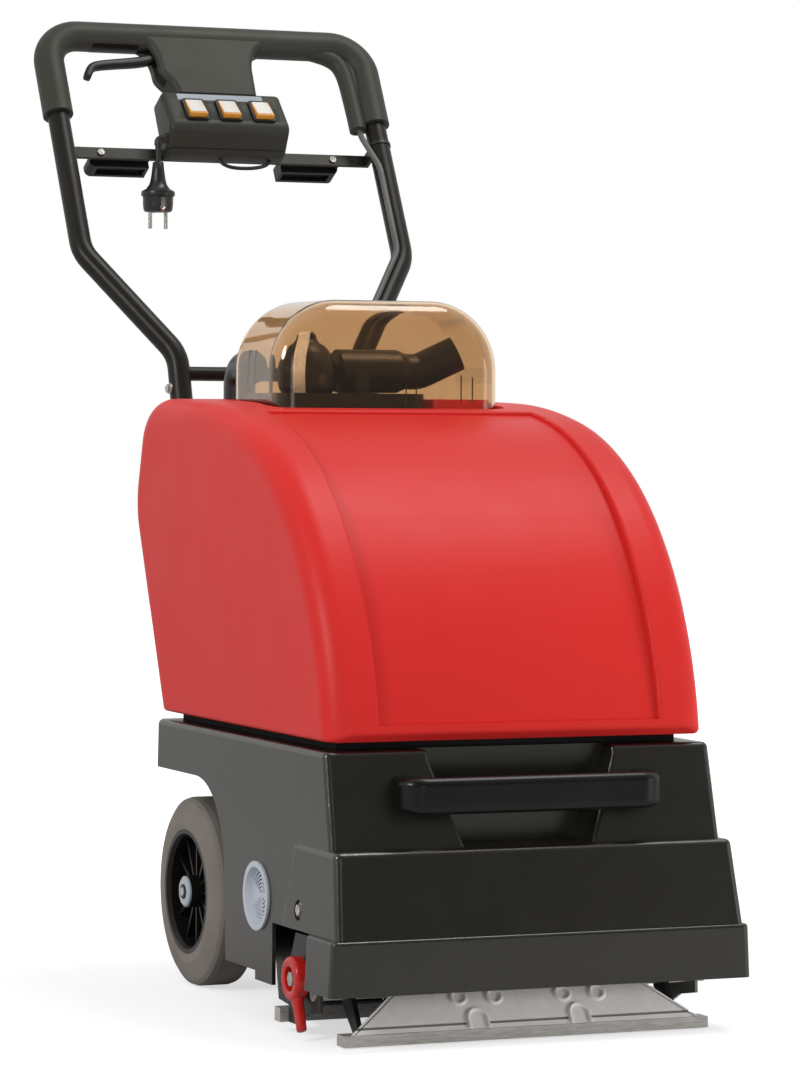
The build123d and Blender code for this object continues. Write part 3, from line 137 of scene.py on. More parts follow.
for name, spot, aim, size, power in (("lamp_left", (-2.6, -1.2, 1.7), (0, 0, 0.5), 0.9, 39.0),
                                     ("lamp_above", (0.9, -0.4, 3.2), (0, 0, 0.5), 1.4, 38.0),
                                     ("lamp_front", (-0.7, -3.6, 0.9), (0, 0, 0.5), 1.2, 5.0),
                                     ("lamp_low", (2.5, -2.4, 0.4), (0, 0, 0.3), 1.2, 8.0),
                                     ("lamp_floor", (1.3, -1.25, 0.08), (0.1, -0.48, 0.03), 0.5, 12.0)):
    bulb = bpy.data.lights.new(name, "AREA")
    bulb.shape = "DISK"
    bulb.size = size
    bulb.energy = power
    lamp = bpy.data.objects.new(name, bulb)
    lamp.location = spot
    lamp.visible_glossy = name != "lamp_floor"
    lamp.rotation_euler = (Vector(aim) - Vector(spot)).to_track_quat("-Z", "Y").to_euler()
    scene.collection.objects.link(lamp)


# Base housing: the black body of the machine, with three steps at its front and arches for the wheels. It is one
# thick plastic moulding, open below, with a satin skin and a fine grain.
def paint(red, green, blue):
    """Screen colour from 0 to 255 as linear light."""
    c = np.array((red, green, blue)) / 255
    return (*np.where(c < 0.04045, c / 12.92, ((c + 0.055) / 1.055) ** 2.4), 1.0)


def two_shades(tree, places, dark, light):
    """Ramp from a dark to a light screen colour between two places."""
    ramp = node(tree, "ValToRGB")
    for stop, place, colour in zip(ramp.color_ramp.elements, places, (dark, light)):
        stop.position = place
        stop.color = paint(*colour)
    return ramp


def moulded(name, light, dark, rough, grain=700.0, depth=0.00006, gloss=0.5, cloud=7.0, sheen=(1.0, 1.0, 1.0)):
    """Moulded plastic or rubber: two near shades mixed by a soft cloud, roughness that drifts with a second
    cloud, a fine grain as bump, and reflections tinted by the sheen."""
    mat = bpy.data.materials.new(name)
    mat.use_nodes = True
    tree = mat.node_tree
    skin = tree.nodes["Principled BSDF"]
    skin.inputs["Specular IOR Level"].default_value = gloss
    skin.inputs["Specular Tint"].default_value = (*sheen, 1.0)
    where = node(tree, "TexCoord")
    tint, drift, pits = (node(tree, "TexNoise", Scale=scale, Detail=detail)
                         for scale, detail in ((cloud, 5.0), (cloud * 6, 3.0), (grain, 2.0)))
    shade = two_shades(tree, (0.36, 0.66), dark, light)
    dull = node(tree, "MapRange", From_Min=0.3, From_Max=0.7, To_Min=rough * 0.94, To_Max=rough * 1.06)
    bump = node(tree, "Bump", Strength=0.6, Distance=depth)
    join(tree, *((where.outputs["Object"], noise.inputs["Vector"]) for noise in (tint, drift, pits)),
         (tint.outputs["Fac"], shade.inputs["Fac"]), (shade.outputs["Color"], skin.inputs["Base Color"]),
         (drift.outputs["Fac"], dull.inputs["Value"]), (dull.outputs["Result"], skin.inputs["Roughness"]),
         (pits.outputs["Fac"], bump.inputs["Height"]), (bump.outputs["Normal"], skin.inputs["Normal"]))
    return mat


def dress(finish, *names):
    """Give CAD pieces their finish."""
    for name in names:
        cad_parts[name].material_slots[0].material = finish


WARM = (1.0, 0.98, 0.88)
base_black = moulded("base_black", (18, 16, 12), (15, 14, 10), 0.29, 1100, 0.00004, 0.76, sheen=WARM)
dress(base_black, "base_housing")

# Side vents: dished discs with rings of slots that let the motors breathe, one in each side wall. They are pale
# plastic mouldings, pushed into round holes in the base.
vent_grey = moulded("vent_grey", (184, 190, 200), (166, 172, 182), 0.4, 700, 0.00003)
dress(vent_grey, "vent_left", "vent_right")


# Vent shade discs: black discs of painted shade behind the vents, so that their slots show dark. They are thin
# discs at the inner ends of the vents.
def settle(name, mesh, body, finish, sharp=40):
    """Weld a mesh, turn its faces outwards, shade it smooth and put it on a body in its finish."""
    work = bmesh.new()
    work.from_mesh(mesh)
    bmesh.ops.remove_doubles(work, verts=work.verts, dist=1e-6)
    bmesh.ops.dissolve_degenerate(work, dist=1e-7, edges=work.edges)
    bmesh.ops.recalc_face_normals(work, faces=work.faces)
    work.to_mesh(mesh)
    work.free()
    mesh.shade_smooth()
    mesh.set_sharp_from_angle(angle=np.radians(sharp))
    mesh.materials.append(finish)
    piece = bpy.data.objects.new(name, mesh)
    scene.collection.objects.link(piece)
    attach(piece, body)
    return piece


def skins(name, grids, body, finish, sharp=40, ring=False, gaps=None):
    """Closed surfaces through grids of points, one piece: each cell of a grid is one face, every row closes on
    itself, rows drawn together to a point are welded, with ring the last row joins the first, and cells marked
    in gaps are left open."""
    grids = np.asarray(grids)
    count, rows, points = grids.shape[:3]
    index = np.arange(count * rows * points).reshape(count, rows, points)
    index = np.concatenate([index, index[:, :, :1]], 2)
    if ring:
        index = np.concatenate([index, index[:, :1]], 1)
    faces = np.stack([index[:, :-1, :-1], index[:, 1:, :-1], index[:, 1:, 1:], index[:, :-1, 1:]], -1)
    faces = faces.reshape(-1, 4) if gaps is None else faces[:, ~gaps].reshape(-1, 4)
    mesh = bpy.data.meshes.new(name)
    mesh.from_pydata(grids.reshape(-1, 3), [], faces)
    return settle(name, mesh, body, finish, sharp)


def turned(centres, out, side, section, count=24):
    """Section of radii and heights turned round an axis at each centre: a point lies its radius away from the
    axis, on a circle from the side direction, and its height along the axis."""
    section = np.asarray(section)
    turn = np.linspace(0, 2 * np.pi, count, endpoint=False)
    circle = np.cos(turn)[:, None] * side + np.sin(turn)[:, None] * np.cross(out, side)
    solid = section[:, :1, None] * circle[None] + section[:, 1:, None] * out
    return np.asarray(centres)[:, None, None] + solid[None]


X, Y, Z = np.eye(3)
VENT_X, VENT_Y, VENT_Z = 0.1964, -0.25875, 0.126
SHADE_DISC_RADIUS, SHADE_DISC_THICK = 0.0296, 0.0014
# Painted shade: a black disc in place of the darkness inside each vent, seen through its slots.
slot_shade = moulded("vent_slot_shade", (9, 9, 9), (6, 6, 6), 0.9, 900, 0.0002, 0.1)
disc = ((0, 0), (SHADE_DISC_RADIUS, 0), (SHADE_DISC_RADIUS, SHADE_DISC_THICK), (0, SHADE_DISC_THICK))
for side, name in ((-1, "left"), (1, "right")):
    back = turned([(side * VENT_X, VENT_Y, VENT_Z)], side * X, Z, disc, 40)
    skins(f"vent_shade_disc_{name}", back, "chassis", slot_shade)


# Bolts: zinc plated steel, screwed into the sides of the middle step, through the lever and through the handle's
# pivots, with smaller and duller screws in the crossbar.
def worked_metal(name, light, dark, rough, grain=60.0, depth=0.00002, stretch=(1.0, 1.0, 1.0), spots=0.0,
                 metal=1.0):
    """Bare metal: two shades mixed by noise drawn out along the tool marks, with roughness and bump from the
    same marks, and duller spots where it is cast."""
    mat = bpy.data.materials.new(name)
    mat.use_nodes = True
    tree = mat.node_tree
    skin = tree.nodes["Principled BSDF"]
    skin.inputs["Metallic"].default_value = metal
    where = node(tree, "TexCoord")
    drawn_out = node(tree, "Mapping", Scale=stretch)
    marks = node(tree, "TexNoise", Scale=grain, Detail=6.0, Roughness=0.5 + spots)
    shade = two_shades(tree, (0.34, 0.68), dark, light)
    dull = node(tree, "MapRange", From_Min=0.3, From_Max=0.7, To_Min=rough * 1.25, To_Max=rough * 0.8)
    bump = node(tree, "Bump", Strength=0.5, Distance=depth)
    join(tree, (where.outputs["Object"], drawn_out.inputs["Vector"]),
         (drawn_out.outputs["Vector"], marks.inputs["Vector"]),
         (marks.outputs["Fac"], shade.inputs["Fac"]), (shade.outputs["Color"], skin.inputs["Base Color"]),
         (marks.outputs["Fac"], dull.inputs["Value"]), (dull.outputs["Result"], skin.inputs["Roughness"]),
         (marks.outputs["Fac"], bump.inputs["Height"]), (bump.outputs["Normal"], skin.inputs["Normal"]))
    return mat


bolt_zinc = worked_metal("bolt_zinc", (206, 202, 195), (162, 158, 151), 0.3, 300, 0.00002, metal=0.6)
dress(bolt_zinc, "side_bolts", "lever_bolt", "handle_pivot_bolts")
screw_zinc = worked_metal("screw_zinc", (148, 145, 139), (116, 113, 107), 0.4, 300, 0.00002, metal=0.8)
dress(screw_zinc, "crossbar_bolts")

# Carry handle: a bowed bar across the front, over a recess for the fingers. It is a black moulding, polished
# smoother than the base it is fixed to at both ends.
carry_black = moulded("carry_black", (19, 19, 18), (15, 15, 14), 0.28, 600, 0.00002, 0.24)
dress(carry_black, "carry_handle")

# Pressed steel in the base: the floor plate and the brush end plates are bare, the handle bracket and the left side
# bracket are painted black, and the right side bracket is plated. All are folded from sheet and screwed in.
sheet_steel = worked_metal("sheet_steel", (96, 94, 90), (66, 64, 61), 0.42, 30, 0.00003, (1.0, 6.0, 6.0))
dress(sheet_steel, "floor_plate", "brush_end_plates")
bracket_black = moulded("bracket_black", (34, 33, 31), (24, 23, 22), 0.5, 800, 0.00005)
dress(bracket_black, "handle_bracket")


def shaded(finish, *steps):
    """Multiply a finish's colour by a value that a chain of nodes works out from the place on the piece."""
    tree = finish.node_tree
    colour = tree.nodes["Principled BSDF"].inputs["Base Color"]
    where = node(tree, "TexCoord").outputs["Object"]
    for kind, values in steps:
        made = node(tree, kind, **values)
        join(tree, (where, made.inputs[0]))
        where = made.outputs["Value" if values.get("operation") in ("LENGTH", "DOT_PRODUCT") else 0]
    lit = node(tree, "VectorMath", operation="SCALE")
    join(tree, (colour.links[0].from_socket, lit.inputs[0]), (where, lit.inputs["Scale"]), (lit.outputs[0], colour))
    return finish


PLATED = 16.0
side_plates = moulded("side_plates", (34, 33, 31), (28, 27, 25), 0.5, 800, 0.00005)
shaded(side_plates, ("VectorMath", dict(operation="DOT_PRODUCT", _1=X)),
       ("MapRange", dict(From_Min=-0.001, From_Max=0.001, To_Min=1.0, To_Max=PLATED)))
dress(side_plates, "side_brackets")

# Bright bars: the axle, the skid bar and the tube that the nozzle swings on. They are drawn steel with marks along
# their length, pushed through the plates that carry them.
bar_steel = worked_metal("bar_steel", (216, 213, 208), (178, 174, 168), 0.3, 40, 0.00002, (1.0, 12.0, 12.0),
                         metal=0.5)
dress(bar_steel, "axle", "skid_bar", "nozzle_pivot_tube")

# Wheels: grey rubber tyres, darker on the tread, moulded on black ribbed plastic rims. They turn on the axle and
# are held by a pale cap pressed over each of its ends.
AXLE = np.array((0.0, 0.01425, 0.1))
SHOULDER, TREAD = 0.0925, 0.0985
tyre_rubber = moulded("tyre_rubber", (132, 124, 117), (118, 111, 104), 0.68, 500, 0.00012, 0.3, 14.0)
shaded(tyre_rubber, ("VectorMath", dict(operation="SUBTRACT", _1=AXLE)),
       ("VectorMath", dict(operation="MULTIPLY", _1=Y + Z)), ("VectorMath", dict(operation="LENGTH")),
       ("MapRange", dict(From_Min=SHOULDER, From_Max=TREAD, To_Min=1.0, To_Max=0.8)))
rim_black = moulded("rim_black", (24, 21, 18), (15, 13, 11), 0.4, 700, 0.00004, 0.35)
cap_light = moulded("cap_light", (184, 192, 198), (170, 178, 184), 0.3, 500, 0.00003)
for side in ("left", "right"):
    dress(tyre_rubber, f"tyre_{side}")
    dress(rim_black, f"rim_{side}")
    dress(cap_light, f"hub_cap_{side}")

# Hub rings: dark rings round the screw in the middle of each hub cap. They are soft rubber, pressed on with the
# screw, and turn with the wheel.
HUB_FACE = 0.1866
ring_black = moulded("ring_black", (20, 20, 20), (14, 14, 14), 0.5, 700, 0.00003)
groove = ((0.0047, 0.0), (0.0047, 0.0019), (0.0054, 0.0023), (0.0070, 0.0023), (0.0077, 0.0019), (0.0077, 0.0))
for side, name in ((-1, "left"), (1, "right")):
    loop = turned([AXLE + side * HUB_FACE * X], side * X, Z, groove, 32)
    skins(f"hub_ring_{name}", loop, f"wheel_{name}", ring_black, ring=True)

# Brush drive and pump: cast motor cans, turned pulleys, a black rubber belt and a black plastic pump. They hang
# inside the base, where little of them is seen.
motor_metal = worked_metal("motor_metal", (112, 113, 114), (78, 79, 80), 0.45, 90, 0.00005, spots=0.15)
dress(motor_metal, "brush_motor", "vacuum_motor", "motor_pulley", "brush_pulley")
belt_rubber = moulded("belt_rubber", (30, 30, 30), (18, 18, 18), 0.75, 500, 0.0001, 0.3)
dress(belt_rubber, "drive_belt", "deck_seals")
pump_black = moulded("pump_black", (40, 42, 46), (28, 30, 33), 0.5, 600, 0.00006)
dress(pump_black, "solution_pump", "spray_bar", "brush_core")

# Brush bristles: stiff nylon tufts that scrub the carpet, splayed a little at their tips. They are stapled into the
# core in spiral rows, every second row set half a step on.
BRUSH_Y, BRUSH_Z, BRUSH_HALF = -0.25875, 0.04, 0.154
TUFT_ROWS, TUFTS_EACH, TWIST = 12, 30, 1.2
bristle_nylon = moulded("bristle_nylon", (52, 54, 60), (30, 31, 35), 0.55, 1600, 0.0003, 0.4, 60.0)
row, place = np.meshgrid(np.arange(TUFT_ROWS), np.arange(TUFTS_EACH), indexing="ij")
lean = (2 * np.pi * row / TUFT_ROWS + TWIST * place / TUFTS_EACH).ravel()
along = (-BRUSH_HALF + 2 * BRUSH_HALF * (place + 0.5 * (row % 2) + 0.25) / TUFTS_EACH).ravel()
reach = np.array([0.0215, 0.0215, 0.027, 0.033, 0.0385, 0.0392, 0.0392])
swell = np.array([0.0, 0.0030, 0.0033, 0.0039, 0.0044, 0.0036, 0.0])
round_tuft = np.linspace(0, 2 * np.pi, 8, endpoint=False)
out = np.stack([0 * lean, np.cos(lean), np.sin(lean)], -1)
beside = np.stack([0 * lean, -np.sin(lean), np.cos(lean)], -1)
centre = np.stack([along, 0 * lean + BRUSH_Y, 0 * lean + BRUSH_Z], -1)
circle = (np.cos(round_tuft)[None, None, :, None] * X
          + np.sin(round_tuft)[None, None, :, None] * beside[:, None, None])
tufts = (centre[:, None, None] + reach[None, :, None, None] * out[:, None, None]
         + swell[None, :, None, None] * circle)
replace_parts(skins("brush_tufts", tufts, "brush", bristle_nylon), "brush_bristles")

# Nozzle shoe: aluminium casting that slopes up from the lip, rough from the mould. Two open arches and four ring
# bosses stand proud of it, grooves run along its foot and its ends, and painted shade darkens the hollows.
HALF_LENGTH = 0.49375  # a place measured from the front of the machine, less this, is its place in the frame
SHOE_FOOT = np.array((0.0, 0.040 - HALF_LENGTH, 0.012))
SHOE_OUT = np.array((0.0, -0.82696, 0.56235))
SHOE_UP = np.array((0.0, 0.56235, 0.82696))
SHOE_RISE, SHOE_DEPTH, SHOE_LOW_HALF, SHOE_TOP_HALF = 0.0604, 0.012, 0.186, 0.112
ARCHES, ARCH_SPRING = (-0.0510, 0.0575), 0.011
BOSSES = ((-0.066, 0.0350), (-0.028, 0.0342), (0.045, 0.0334), (0.082, 0.0326))
cast_aluminium = worked_metal("cast_aluminium", (250, 246, 244), (240, 236, 233), 0.36, 70, 0.0001, spots=0.1,
                              metal=0.15)
# Painted shade: the colour darkens where the face sinks below the plane of the shoe, in its grooves and hollows.
shaded(cast_aluminium, ("VectorMath", dict(operation="SUBTRACT", _1=SHOE_FOOT)),
       ("VectorMath", dict(operation="DOT_PRODUCT", _1=SHOE_OUT)),
       ("MapRange", dict(From_Min=-0.0016, From_Max=-0.0001, To_Min=0.2, To_Max=1.0)))


def bank(place, edge, soft=0.0012):
    """Smooth step from nought to one as a place passes an edge."""
    part = np.clip((place - edge) / soft + 0.5, 0, 1)
    return part * part * (3 - 2 * part)


def rib(place, near, far):
    """One between two edges and nought outside them, a smooth step up less a smooth step further on."""
    return bank(place, near) - bank(place, far)


def capped(grid):
    """Grid of rings with its first and last ring drawn together to their middles."""
    ends = grid.mean(-2, keepdims=True) + 0 * grid
    return np.concatenate([ends[..., :1, :, :], grid, ends[..., -1:, :, :]], -3)


climb = np.linspace(0, SHOE_RISE, 76)[:, None]
half = np.interp(climb, (0, SHOE_RISE), (SHOE_LOW_HALF, SHOE_TOP_HALF))
wide, high = half * np.linspace(-1, 1, 421), climb + np.zeros(421)
inset = half - np.abs(wide)
relief = -0.0022 * rib(high, 0.0054, 0.0076) - 0.0014 * rib(inset, 0.0032, 0.0050)
for x in ARCHES:
    away = np.hypot(wide - x, np.maximum(high - ARCH_SPRING, 0))
    relief = relief * bank(away, 0.0120) + 0.0024 * rib(away, 0.0085, 0.0116)
for x, up in BOSSES:
    relief += 0.0022 * rib(np.hypot(wide - x, high - up), 0.0058, 0.0090)
relief *= bank(high, 0.0008, 0.0010)
shoe_face = SHOE_FOOT + wide[..., None] * X + high[..., None] * SHOE_UP + relief[..., None] * SHOE_OUT
wide, high = half * np.linspace(1, -1, 41), climb + np.zeros(41)
shoe_rear = SHOE_FOOT + wide[..., None] * X + high[..., None] * SHOE_UP - SHOE_DEPTH * SHOE_OUT
shoe = capped(np.concatenate([shoe_face, shoe_rear], 1))
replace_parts(skins("shoe_casting", [shoe], "nozzle", cast_aluminium, 50), "nozzle_shoe")

# Nozzle lip and cheeks: a machined strip along the foot of the shoe, which draws the water up, and two black plates
# that hang the shoe on its tube. Both are screwed to the casting.
cheek_black = moulded("cheek_black", (30, 29, 27), (24, 23, 22), 0.5)
dress(cheek_black, "nozzle_cheeks")
lip_metal = worked_metal("lip_metal", (198, 194, 189), (170, 166, 161), 0.36, 60, 0.00005, (1.0, 9.0, 9.0),
                         metal=0.3)
dress(lip_metal, "nozzle_lip")

# Height lever: glossy red moulding on a shouldered bolt at the left side, a rounded hub with a sunk middle and a
# bar that tapers from it down to the tip.
HUB = np.array((-0.206, -0.37575, 0.058))
DOWN = np.array((0.0, -0.38176, -0.92426))
BAR_IN = 0.0074
lever_red = moulded("lever_red", (196, 36, 32), (186, 32, 29), 0.26, 700, 0.00002, 0.4)
knob = ((0.0051, 0.0), (0.0205, 0.0), (0.0219, 0.0014), (0.0220, 0.0100), (0.0212, 0.0126), (0.0194, 0.0138),
        (0.0176, 0.0140), (0.0136, 0.0140), (0.0122, 0.0132), (0.0119, 0.0118), (0.0119, 0.0080), (0.0051, 0.0080))
lever_hub = skins("lever_hub", turned([HUB], -X, Z, knob, 48), "lever", lever_red, ring=True)
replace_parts(lever_hub, "height_lever")
reach = np.array((0.0150, 0.0180, 0.0220, 0.0270, 0.0340, 0.0440, 0.0510, 0.0524, 0.0529))
wide = np.array((0.0110, 0.0092, 0.0074, 0.0063, 0.0058, 0.0055, 0.0053, 0.0047, 0.0030))
deep = np.array((0.0058, 0.0056, 0.0053, 0.0050, 0.0047, 0.0045, 0.0044, 0.0038, 0.0022))
# A section between a circle and a square: cosine and sine raised to a power below one, with their signs.
turn = np.linspace(0, 2 * np.pi, 20, endpoint=False)
soft_x = np.sign(np.cos(turn)) * np.abs(np.cos(turn)) ** 0.6
soft_y = np.sign(np.sin(turn)) * np.abs(np.sin(turn)) ** 0.6
bar = (HUB - BAR_IN * X + reach[:, None, None] * DOWN + (deep[:, None] * soft_x)[..., None] * X
       + (wide[:, None] * soft_y)[..., None] * np.cross(DOWN, X))
skins("lever_bar", [capped(bar)], "lever", lever_red)

# Tank hood: the large red tank that holds the water, set on the base over a seal. It is one hollow plastic moulding
# with a satin skin, a shade deeper here and there, on a welded floor.
hood_red = moulded("hood_red", (207, 43, 39), (203, 40, 37), 0.42, 900, 0.00003, 0.16, 3.0)
dress(hood_red, "hood_tank", "hood_floor")


# Inlet collar: a red lip round the hole in the top of the tank that the water falls through. It is moulded in one
# with the hood and shows through the foot of the dome.
def frames(centres, across, up, out, half_x, half_y, corner, section, count=6):
    """Section of offsets and heights carried round a rounded rectangle, once at each centre: a point lies at the
    middle of a corner's arc, plus the corner's radius and the offset along a direction that turns round."""
    turn = np.concatenate([np.linspace(0, np.pi / 2, count) + k * np.pi / 2 for k in range(4)])
    ways = np.stack([np.cos(turn), np.sin(turn)], -1)
    corners = np.repeat([(1, 1), (-1, 1), (-1, -1), (1, -1)], count, 0) * (half_x - corner, half_y - corner)
    section = np.asarray(section)
    flat = corners[None] + (corner + section[:, 0])[:, None, None] * ways[None]
    rings = (flat[..., :1] * across + flat[..., 1:] * up) + section[:, 1][:, None, None] * out
    return np.asarray(centres)[:, None, None] + rings[None]


INLET = (0.090, 0.465 - HALF_LENGTH, 0.612)
collar = ((0.0, -0.004), (0.0, 0.0095), (0.0006, 0.0105), (0.0026, 0.0105), (0.0032, 0.0095), (0.0032, -0.004))
lip = frames([INLET], X, Y, Z, 0.0304, 0.0494, 0.006, collar)
skins("inlet_collar", lip, "tank", hood_red, ring=True)

# Dome: the clear cover over the inlet, so that the dirty water can be seen. It is a thin brown tinted moulding with
# a polished skin, standing in the hood's pocket, and it lifts off by hand.
dome_smoke = bpy.data.materials.new("dome_smoke")
dome_smoke.use_nodes = True
tree = dome_smoke.node_tree
clear = tree.nodes["Principled BSDF"]
clear.inputs["Transmission Weight"].default_value = 1.0
clear.inputs["IOR"].default_value = 1.49
where = node(tree, "TexCoord")
haze = node(tree, "TexNoise", Scale=9.0, Detail=4.0)
smoke = two_shades(tree, (0.3, 0.7), (202, 175, 144), (207, 181, 150))
dull = node(tree, "MapRange", To_Min=0.01, To_Max=0.035)
path = node(tree, "LightPath")
let_in = node(tree, "BsdfTransparent", Color=(1, 1, 1, 1))
either = node(tree, "MixShader")
join(tree, (where.outputs["Object"], haze.inputs["Vector"]), (haze.outputs["Fac"], smoke.inputs["Fac"]),
     (smoke.outputs["Color"], clear.inputs["Base Color"]), (haze.outputs["Fac"], dull.inputs["Value"]),
     (dull.outputs["Result"], clear.inputs["Roughness"]), (path.outputs["Is Shadow Ray"], either.inputs[0]),
     (clear.outputs[0], either.inputs[1]), (let_in.outputs[0], either.inputs[2]),
     (either.outputs[0], tree.nodes["Material Output"].inputs["Surface"]))
dress(dome_smoke, "dome_lid")

# Dome tabs: pairs of upright slits in the foot of the dome, each pair leaving a springy tab between them. They are
# moulded in, and their edges look dark through the clear wall.
SLIT_X, SLIT_Y = 0.00045, 0.0009
FRONT_Y, LEFT_X = 0.3972, -0.1252
tab_brown = moulded("tab_brown", (74, 50, 30), (58, 38, 22), 0.3, 500, 0.00001)
slits = [(x, FRONT_Y, low, high) for x, low, high in ((0.0180, 0.616, 0.638), (0.0295, 0.616, 0.636),
                                                      (0.0810, 0.620, 0.648), (0.0940, 0.620, 0.646))]
slits += [(LEFT_X, y, 0.636, 0.673) for y in (0.462, 0.481)]
x, y, low, high = np.array(slits).T
places = np.stack([x, y - HALF_LENGTH, (low + high) / 2], -1)
sizes = np.stack([0 * x + SLIT_X, 0 * x + SLIT_Y, (high - low) / 2], -1)
square = np.array([(-1, -1), (1, -1), (1, 1), (-1, 1)])
rings = np.stack([np.concatenate([square, 0 * square[:, :1] + end], -1) for end in (-1, 1)])
skins("dome_tabs", capped(places[:, None, None] + sizes[:, None, None] * rings), "dome", tab_brown)

# Under the dome: the strainer tray, float body, inlet pipe and elbow, and the hose bend behind. They are black
# mouldings pushed into each other and into the top of the tank.
flow_black = moulded("flow_black", (26, 23, 21), (16, 14, 13), 0.3, 700, 0.00004, 0.45)
dress(flow_black, "strainer_tray", "float_body", "inlet_pipe", "inlet_elbow", "hose_elbow")

# Float strap: a bright steel band that holds the float down. It is bent to the float's outline, up one side, over
# its top and down the other, and fixed to the strainer tray at both ends.
STRAP_FOOT = np.array((-0.068, 0.465 - HALF_LENGTH, 0.628))
STRAP_HALF, STRAP_THICK = 0.0062, 0.0007
HEAD = np.array((-0.56, -0.83, 0.0))
BESIDE = np.cross(HEAD, Z)
strap_steel = worked_metal("strap_steel", (236, 232, 228), (204, 199, 194), 0.3, 200, 0.00001, metal=0.2)
line = np.array([(30.0, 0.5), (32.4, 6), (34.0, 20), (32.6, 30), (28.4, 40), (21.6, 48), (14.8, 54), (11.6, 58),
                 (10.2, 62.8), (4.0, 64.8), (0.0, 65.0)]) / 1000
line = np.concatenate([line, line[-2::-1] * (-1, 1)], 0)
ahead = np.gradient(line, axis=0)
away = np.stack([ahead[:, 1], -ahead[:, 0]], -1) / np.linalg.norm(ahead, axis=1, keepdims=True)
edges = np.array([(0.0, -STRAP_HALF), (STRAP_THICK, -STRAP_HALF), (STRAP_THICK, STRAP_HALF), (0.0, STRAP_HALF)])
band = line[:, None] + edges[None, :, :1] * away[:, None]
band = STRAP_FOOT + band[..., :1] * HEAD + band[..., 1:] * Z + edges[None, :, 1:] * BESIDE
skins("float_strap", [capped(band)], "tank", strap_steel)

# Handle tube: one bent steel tube with a cross rod between its legs and a flat crossbar below the box. They are
# welded together, in black powder paint, and swing on the pivot bolts behind the base.
tube_paint = moulded("tube_paint", (32, 30, 27), (26, 24, 22), 0.36, 1500, 0.00005, 0.2, sheen=WARM)
dress(tube_paint, "handle_tube", "cross_rod", "crossbar")

# Tube bolts: hexagon heads on washers, one through each leg of the handle just above the hood. They are zinc plated
# steel and screw into the ends of the cross rod.
BOLT_X, BOLT_Y, BOLT_Z = 0.1221, 0.7385 - HALF_LENGTH, 0.634
washer = ((0, 0), (0.0062, 0), (0.0064, 0.0016), (0, 0.0018))
hexagon = ((0, 0.0016), (0.0046, 0.0016), (0.0048, 0.0046), (0.0038, 0.0054), (0, 0.0054))
for side, name in ((-1, "left"), (1, "right")):
    foot = [(side * BOLT_X, BOLT_Y, BOLT_Z)]
    skins(f"tube_washer_{name}", turned(foot, side * X, Z, washer), "handle", bolt_zinc)
    skins(f"tube_bolt_{name}", turned(foot, side * X, Z, hexagon, 6), "handle", bolt_zinc, sharp=20)

# Grip: the thick hand rail with the neck that carries the control box. It is two dark grey mouldings screwed
# together round the tube, matt and finely grained.
grip_grey = moulded("grip_grey", (59, 59, 54), (53, 53, 48), 0.5, 1200, 0.00007, 0.24, sheen=WARM)
dress(grip_grey, "grip_front", "grip_rear")

# Pump lever: a black moulding on a pin in the neck, rounded and bent down at its tip, below a black channel let
# into the underside of the grip. Points on the handle are given across it, along its lean and out of its face.
LEAN = np.array((0.0, 0.48126, 0.87658))
FACE = np.array((0.0, -0.87658, 0.48126))
HINGE = np.array((0.0, 0.33625, 0.788))
lever_black = moulded("lever_black", (24, 23, 22), (19, 18, 17), 0.36, 700, 0.00003, 0.3)


def eased(points, rounds=3):
    """Line of points with its corners cut: each span keeps the points a quarter in from its ends, and so again."""
    for _ in range(rounds):
        near, far = points[:-1], points[1:]
        cut = np.stack([0.75 * near + 0.25 * far, 0.25 * near + 0.75 * far], 1).reshape(-1, points.shape[1])
        points = np.concatenate([points[:1], cut, points[-1:]], 0)
    return points


bends = eased(np.array([(-0.0560, 0.2680), (-0.0640, 0.2660), (-0.0740, 0.2612), (-0.0900, 0.2574),
                        (-0.1120, 0.2548), (-0.1340, 0.2520), (-0.1450, 0.2490), (-0.1500, 0.2415),
                        (-0.1535, 0.2330)]))
ahead = np.gradient(bends, axis=0)
ahead /= np.linalg.norm(ahead, axis=1, keepdims=True)
beside = np.stack([-ahead[:, 1], ahead[:, 0]], -1)
part, stages = np.linspace(0, 1, len(bends)), (0, 0.12, 0.3, 0.9, 0.985, 1)
high = np.interp(part, stages, (0.0046, 0.0066, 0.0060, 0.0046, 0.0040, 0.0016))
broad = np.interp(part, stages, (0.0058, 0.0058, 0.0058, 0.0052, 0.0046, 0.0020))
flat = bends[:, None] + (high[:, None] * soft_y)[..., None] * beside[:, None]
stick = HINGE + flat[..., :1] * X + flat[..., 1:] * LEAN + (broad[:, None] * soft_x)[..., None] * FACE
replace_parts(skins("pump_handle", [capped(stick)], "trigger", lever_black), "pump_lever")
GRIP_S, CHANNEL_OUT, CHANNEL_IN = 0.29090, 0.01785, 0.0168
CHANNEL_ENDS = np.array([-0.142, -0.086])
span = np.linspace(-np.radians(122), -np.radians(56), 10)
arc = np.stack([np.sin(span), np.cos(span)], -1)
skin = np.concatenate([CHANNEL_OUT * arc, CHANNEL_IN * arc[::-1]], 0) + (GRIP_S, 0.0)
trough = CHANNEL_ENDS[:, None, None] * X + (skin[:, :1] * LEAN + skin[:, 1:] * FACE + HINGE)[None]
skins("lever_channel", [capped(trough)], "handle", lever_black)


# Cable sleeve: a round rib along the inside of the right grip that the control cable runs in. It is moulded in one
# with the grip and open at its foot, where the cable comes out.
def ring_along(points, radii, side, count=24):
    """Round section carried along a path: at each point a circle of that radius, square to the path."""
    ahead = np.gradient(points, axis=0)
    ahead /= np.linalg.norm(ahead, axis=1, keepdims=True)
    across = np.cross(ahead, side)
    across /= np.linalg.norm(across, axis=1, keepdims=True)
    out = np.cross(across, ahead)
    turn = np.linspace(0, 2 * np.pi, count, endpoint=False)
    circle = np.cos(turn)[None, :, None] * across[:, None] + np.sin(turn)[None, :, None] * out[:, None]
    return points[:, None] + np.asarray(radii)[:, None, None] * circle


